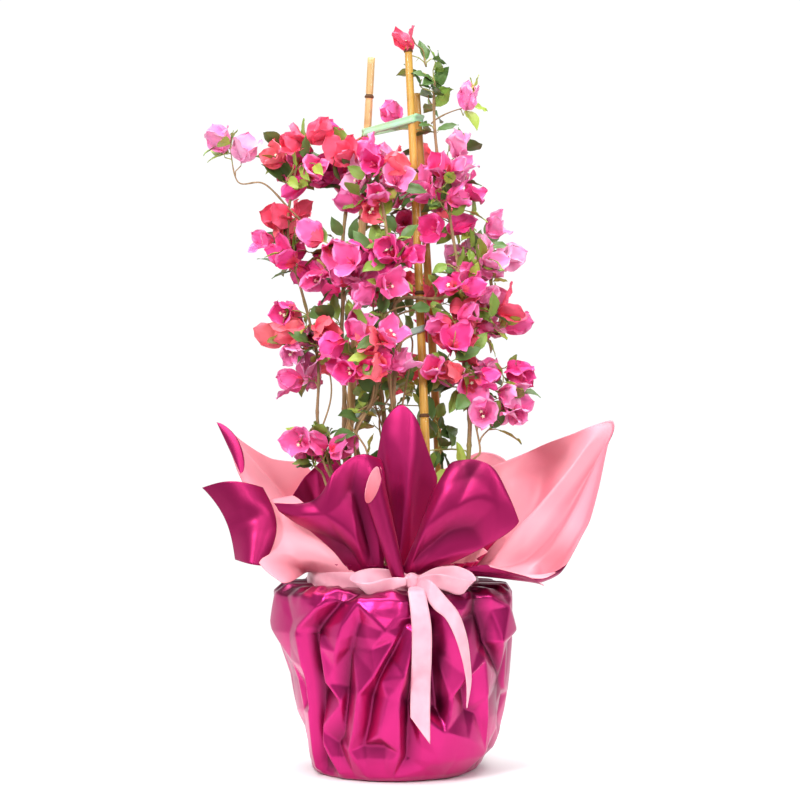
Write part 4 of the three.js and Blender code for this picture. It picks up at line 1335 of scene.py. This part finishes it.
for k, (name, shape) in enumerate(PETALS.items()):
    slot = shape.pop("slot", "film_outside")
    turned = shape.pop("turned", False)
    sheet, heights = petal_sheet(seed=100 + k, **shape)
    if turned:
        sheet, heights = sheet[:, ::-1], heights[:, ::-1]
    # The crease heights set where shade is painted into the petal's folds.
    film_piece(name + "_film", sheet, [name], slot, heights / PETAL_SPAN)

# The back left petal's outer edge is rolled over, so that a strip of the magenta face shows.
strip_from, strip_to = np.array((-212.0, 44, 415)), np.array((-179.0, -8, 354))
u, v = np.meshgrid(np.linspace(0, 1, 12), np.linspace(0, 1, 40))
strip = strip_from + (strip_to - strip_from) * v[..., None]
curl = np.pi * (u - 0.1)
fullness = np.sin(np.pi * v)
strip[..., 0] += (7 * fullness**0.5) * (1 - np.cos(curl)) - 3
strip[..., 1] -= 6 + 5 * np.sin(curl) * fullness
strip[..., 2] += 3 * (1 - np.cos(curl)) * fullness
film_piece("petal_back_left_rolled_edge_film", strip[:, ::-1] * MM, [])

# The roll: a narrow strip of film, rolled towards the right into a tube that opens at the top.
ROLL = {"foot": (7, -107, 236), "mouth": (-27, -139, 362), "radius": (6, 12), "turns": 1.08, "seam": 172}
u, v = np.meshgrid(np.linspace(0, 1, 60), np.linspace(0, 1, 44))
axis_from, axis_to = (np.array(ROLL[end]) for end in ("foot", "mouth"))
roll_way = (axis_to - axis_from) / np.linalg.norm(axis_to - axis_from)
across = np.cross(roll_way, (0, 1, 0))
across /= np.linalg.norm(across)
forward = np.cross(roll_way, across)
turn = math.radians(ROLL["seam"]) + 2 * np.pi * ROLL["turns"] * u
narrow, wide = ROLL["radius"]
size = (narrow + (wide - narrow) * v**0.8) * (1 + 0.22 * u)
reach = v * (0.87 - 0.07 * np.sin(turn) - 0.11 * np.cos(turn))
roll = axis_from + (axis_to - axis_from) * reach[..., None]
roll = roll + (size * np.cos(turn))[..., None] * across + (size * np.sin(turn))[..., None] * forward
film_piece("petal_front_roll_film", roll * MM, ["petal_front_roll"])

# The cone: a corner of the film that curls over beside the left tongue, salmon side in.
CONE = {
    "tip": (-224, -58, 339),
    "heel": (-184, -74, 256),
    "top": (-152, -48, 340),
    "foot": (-150, -74, 250),
}
u, v = np.meshgrid(np.linspace(0, 1, 56), np.linspace(1, 0, 50))
tip, heel, top, foot = (np.array(CONE[key], float) for key in ("tip", "heel", "top", "foot"))
free_edge = tip + (heel - tip) * (v**1.2)[..., None]
mouth = top + (foot - top) * v[..., None]
free_edge[..., 0] += 10 * np.sin(np.pi * v)
mouth[..., 0] += 16 * np.sin(np.pi * v)
cone = free_edge + (mouth - free_edge) * u[..., None]
cone[..., 1] -= 26 * np.sin(0.75 * np.pi * u)
cone[..., 2] += 8 * np.sin(np.pi * u) * (1 - v)
hollow = -5 * np.exp(-(((v - 0.62 + 0.25 * u) / 0.13) ** 2)) * np.sin(np.pi * u)
cone = push_out(cone * MM, hollow * MM)
film_piece("petal_left_cone_film", cone, ["petal_left_cone"])

# Between the petals the film stands up in a low pleated ruff, higher at the back.
RUFF_ROWS, RUFF_COLUMNS = 18, 361
turn = np.linspace(-1.5 * np.pi, 0.5 * np.pi, RUFF_COLUMNS)[None]
v = np.linspace(0, 1, RUFF_ROWS)[:, None]
behind_plant = np.clip(0.35 + 1.2 * np.sin(turn), 0, 1)
tall = 15 + behind_plant * (48 + 12 * np.sin(5 * turn) + 7 * np.sin(11 * turn + 1))
pleats = np.sin(31 * turn + 3 * np.sin(2 * turn)) + 0.5 * np.sin(53 * turn)
ruff_radius = 93 + 0.7 * tall * v**1.3 + pleats * (0.8 + 3.2 * v)
ruff = around(ruff_radius, turn, COLLAR_FOOT + tall * v - 4 * (1 - v))
# The pleats set where shade is painted into the ruff's folds.
film_piece("collar_ruff_film", ruff * MM, [], "film_outside", pleats * v / 2)

# ------------------------------------------------------------------ satin ribbon
# Woven pale pink satin, 23 mm wide and tied once round the neck in a bow. The knot pulls it into
# gathers, the loops stand out to either side, and two tails hang before the film.

WEAVE = 0.9 * MM  # thread spacing: real satin is three times finer and would not show

# Woven satin: a broad sheen, cloudy patches of a deeper pink that are painted shade as of shallow folds, and
# very fine diagonal threads.
satin, tree, shader = new_material(
    "woven_satin", {"Roughness": 0.36, "IOR": 1.5, "Sheen Weight": 0.4, "Sheen Roughness": 0.4}
)
place = add_node(tree, "TexCoord", {})
threads = add_node(
    tree,
    "TexWave",
    {"Vector": place.outputs["Object"], "Scale": 0.5 / WEAVE / 3.14, "Distortion": 0.4},
    bands_direction="DIAGONAL",
)
layers = [(uneven(tree, 16 * MM), "#F6BFCC")]
show(tree, shader, "#E48EA4", layers, threads.outputs["Fac"], 0.12, 0.1 * MM)

RIBBON_THICKNESS = 0.3 * MM
BAND = {"middle": 232.5, "width": 23, "radius": 102.3}
KNOT = (22.0, -108.0, 233.5)
KNOT_SIZE = (10.5, 6.2, 9.5)


def ribbon_piece(name, stops, replaced, curl=0.6):
    """Ribbon along a smooth path: each stop gives its middle, and its width as a vector."""
    ALONG, ACROSS = 90, 9
    u = np.linspace(0, 1, ALONG)
    middle = smooth_line([p for p, _ in stops], u)
    widths = smooth_line([w for _, w in stops], u)
    w = np.linspace(-0.5, 0.5, ACROSS)
    grid = middle[:, None] + widths[:, None] * w[None, :, None]
    heights = curl * (4 * w**2 - 1)[None] * np.ones((ALONG, 1))
    grid = push_out(grid * MM, heights * MM)
    faces = grid_faces(ALONG, ACROSS)
    piece = new_piece(name, grid.reshape(-1, 3), faces, [satin], "satin_ribbon", replaced)
    thicken(piece, RIBBON_THICKNESS)


CLEARED = 12  # millimetres round a point of the ribbon in which it clears the film


def before_film(x, z, clear):
    """A point in front of the pot's film, so far clear of it."""
    near = (np.abs(film_points[:, 0] - x) < CLEARED) & (np.abs(film_points[:, 2] - z) < CLEARED)
    return (x, film_points[near, 1].min() - clear, z)


# The band: a ring with soft lengthwise gathers.
BAND_ROWS, BAND_COLUMNS = 13, 220
turn = 2 * np.pi * np.arange(BAND_COLUMNS) / BAND_COLUMNS
level = np.linspace(-0.5, 0.5, BAND_ROWS)[:, None]
lean = 1.5 * np.sin(turn + 0.8)
swell = 0.5 * np.sin(9 * turn + 8 * level) + 0.5 * (1 - (2 * level) ** 2)
band_radius = BAND["radius"] + swell
band_height = BAND["middle"] + BAND["width"] * level + lean
band = around(band_radius, turn, band_height).reshape(-1, 3)
band_faces = grid_faces(BAND_ROWS, BAND_COLUMNS, closed=True)
piece = new_piece("satin_band", band * MM, band_faces, [satin], "satin_ribbon", ["ribbon_band"])
thicken(piece, RIBBON_THICKNESS)

# The knot: a plump wrap of ribbon, drawn in at its middle by its own gathers.
KNOT_ROWS, KNOT_COLUMNS = 30, 72
u, v = np.meshgrid(
    np.linspace(0, 2 * np.pi, KNOT_COLUMNS, endpoint=False), np.linspace(0.02, 0.98, KNOT_ROWS) * np.pi
)
gathers = 1 + 0.07 * np.sin(7 * u + 2.5 * np.cos(v)) * np.sin(v) + 0.05 * np.sin(4 * v + u)
knot = np.stack(
    [
        KNOT[0] + KNOT_SIZE[0] * gathers * np.sin(v) * np.cos(u),
        KNOT[1] + KNOT_SIZE[1] * gathers * np.sin(v) * np.sin(u),
        KNOT[2] + KNOT_SIZE[2] * np.cos(v) * (1 + 0.05 * np.sin(3 * u)),
    ],
    -1,
).reshape(-1, 3)
knot_faces = [tuple(reversed(face)) for face in solid_faces(KNOT_ROWS, KNOT_COLUMNS)]
new_piece("satin_knot", knot * MM, knot_faces, [satin], "satin_ribbon", ["ribbon_knot"])


def beside_knot(x, y, z):
    """A point so far from the middle of the knot."""
    return (KNOT[0] + x, KNOT[1] + y, KNOT[2] + z)


ribbon_piece(
    "satin_loop_left",
    [
        (beside_knot(-8, 1, 1), (0, 0, 10)),
        (beside_knot(-26, 2, 6), (-2, 0, 15)),
        (beside_knot(-46, 0, 6), (-7, 4, 17)),
        (beside_knot(-60, -5, 2), (-14, 8, 15)),
        (beside_knot(-62, -12, -4), (-16, 2, 12)),
        (beside_knot(-48, -17, -9), (-4, -6, 18)),
        (beside_knot(-32, -16, -5), (2, -5, 19)),
        (beside_knot(-18, -11, -1), (-3, 0, 13)),
        (beside_knot(-7, -7, 0), (0, 0, 9)),
    ],
    ["ribbon_loop_left"],
)
ribbon_piece(
    "satin_loop_right",
    [
        (beside_knot(8, 1, 1), (0, 0, 10)),
        (beside_knot(26, 2, 8), (3, 0, 15)),
        (beside_knot(46, 0, 9), (7, 4, 17)),
        (beside_knot(62, -3, 3), (12, 6, 15)),
        (beside_knot(67, -9, -5), (12, 0, 13)),
        (beside_knot(54, -15, -5), (4, -6, 19)),
        (beside_knot(36, -16, 0), (-2, -5, 19)),
        (beside_knot(20, -12, 2), (3, 0, 14)),
        (beside_knot(7, -7, 0), (0, 0, 9)),
    ],
    ["ribbon_loop_right"],
)
ribbon_piece(
    "satin_tail_front",
    [
        (beside_knot(3, -5, -6), (13, 2, 2)),
        ((27, -132, 224), (19, 2, 1)),
        (before_film(30, 208, 2), (21, 0, 0)),
        (before_film(33, 182, 1.5), (22.5, 0, 0)),
        (before_film(33, 150, 2), (22.5, 0, 0)),
        (before_film(32, 120, 3), (22.5, 0, 0)),
        (before_film(31.5, 90, 4), (22.5, 0, -14)),
        (before_film(31.5, 65, 4), (22.5, 0, -31)),
    ],
    ["ribbon_tail_front"],
)
ribbon_piece(
    "satin_tail_side",
    [
        (beside_knot(7, -4, -3), (4, 2, 12)),
        ((40, -131, 227), (8, 0, 17)),
        (before_film(54, 211, 3), (14, 4, 13)),
        (before_film(68, 196, 3), (15, 6, 6)),
        (before_film(78, 172, 3), (13, 10, 2)),
        (before_film(84, 145, 2), (9, 14, 1)),
        (before_film(87, 118, 2), (6, 12, 0)),
        (before_film(85, 88, 2), (1, 2, 0)),
    ],
    ["ribbon_tail_side"],
)
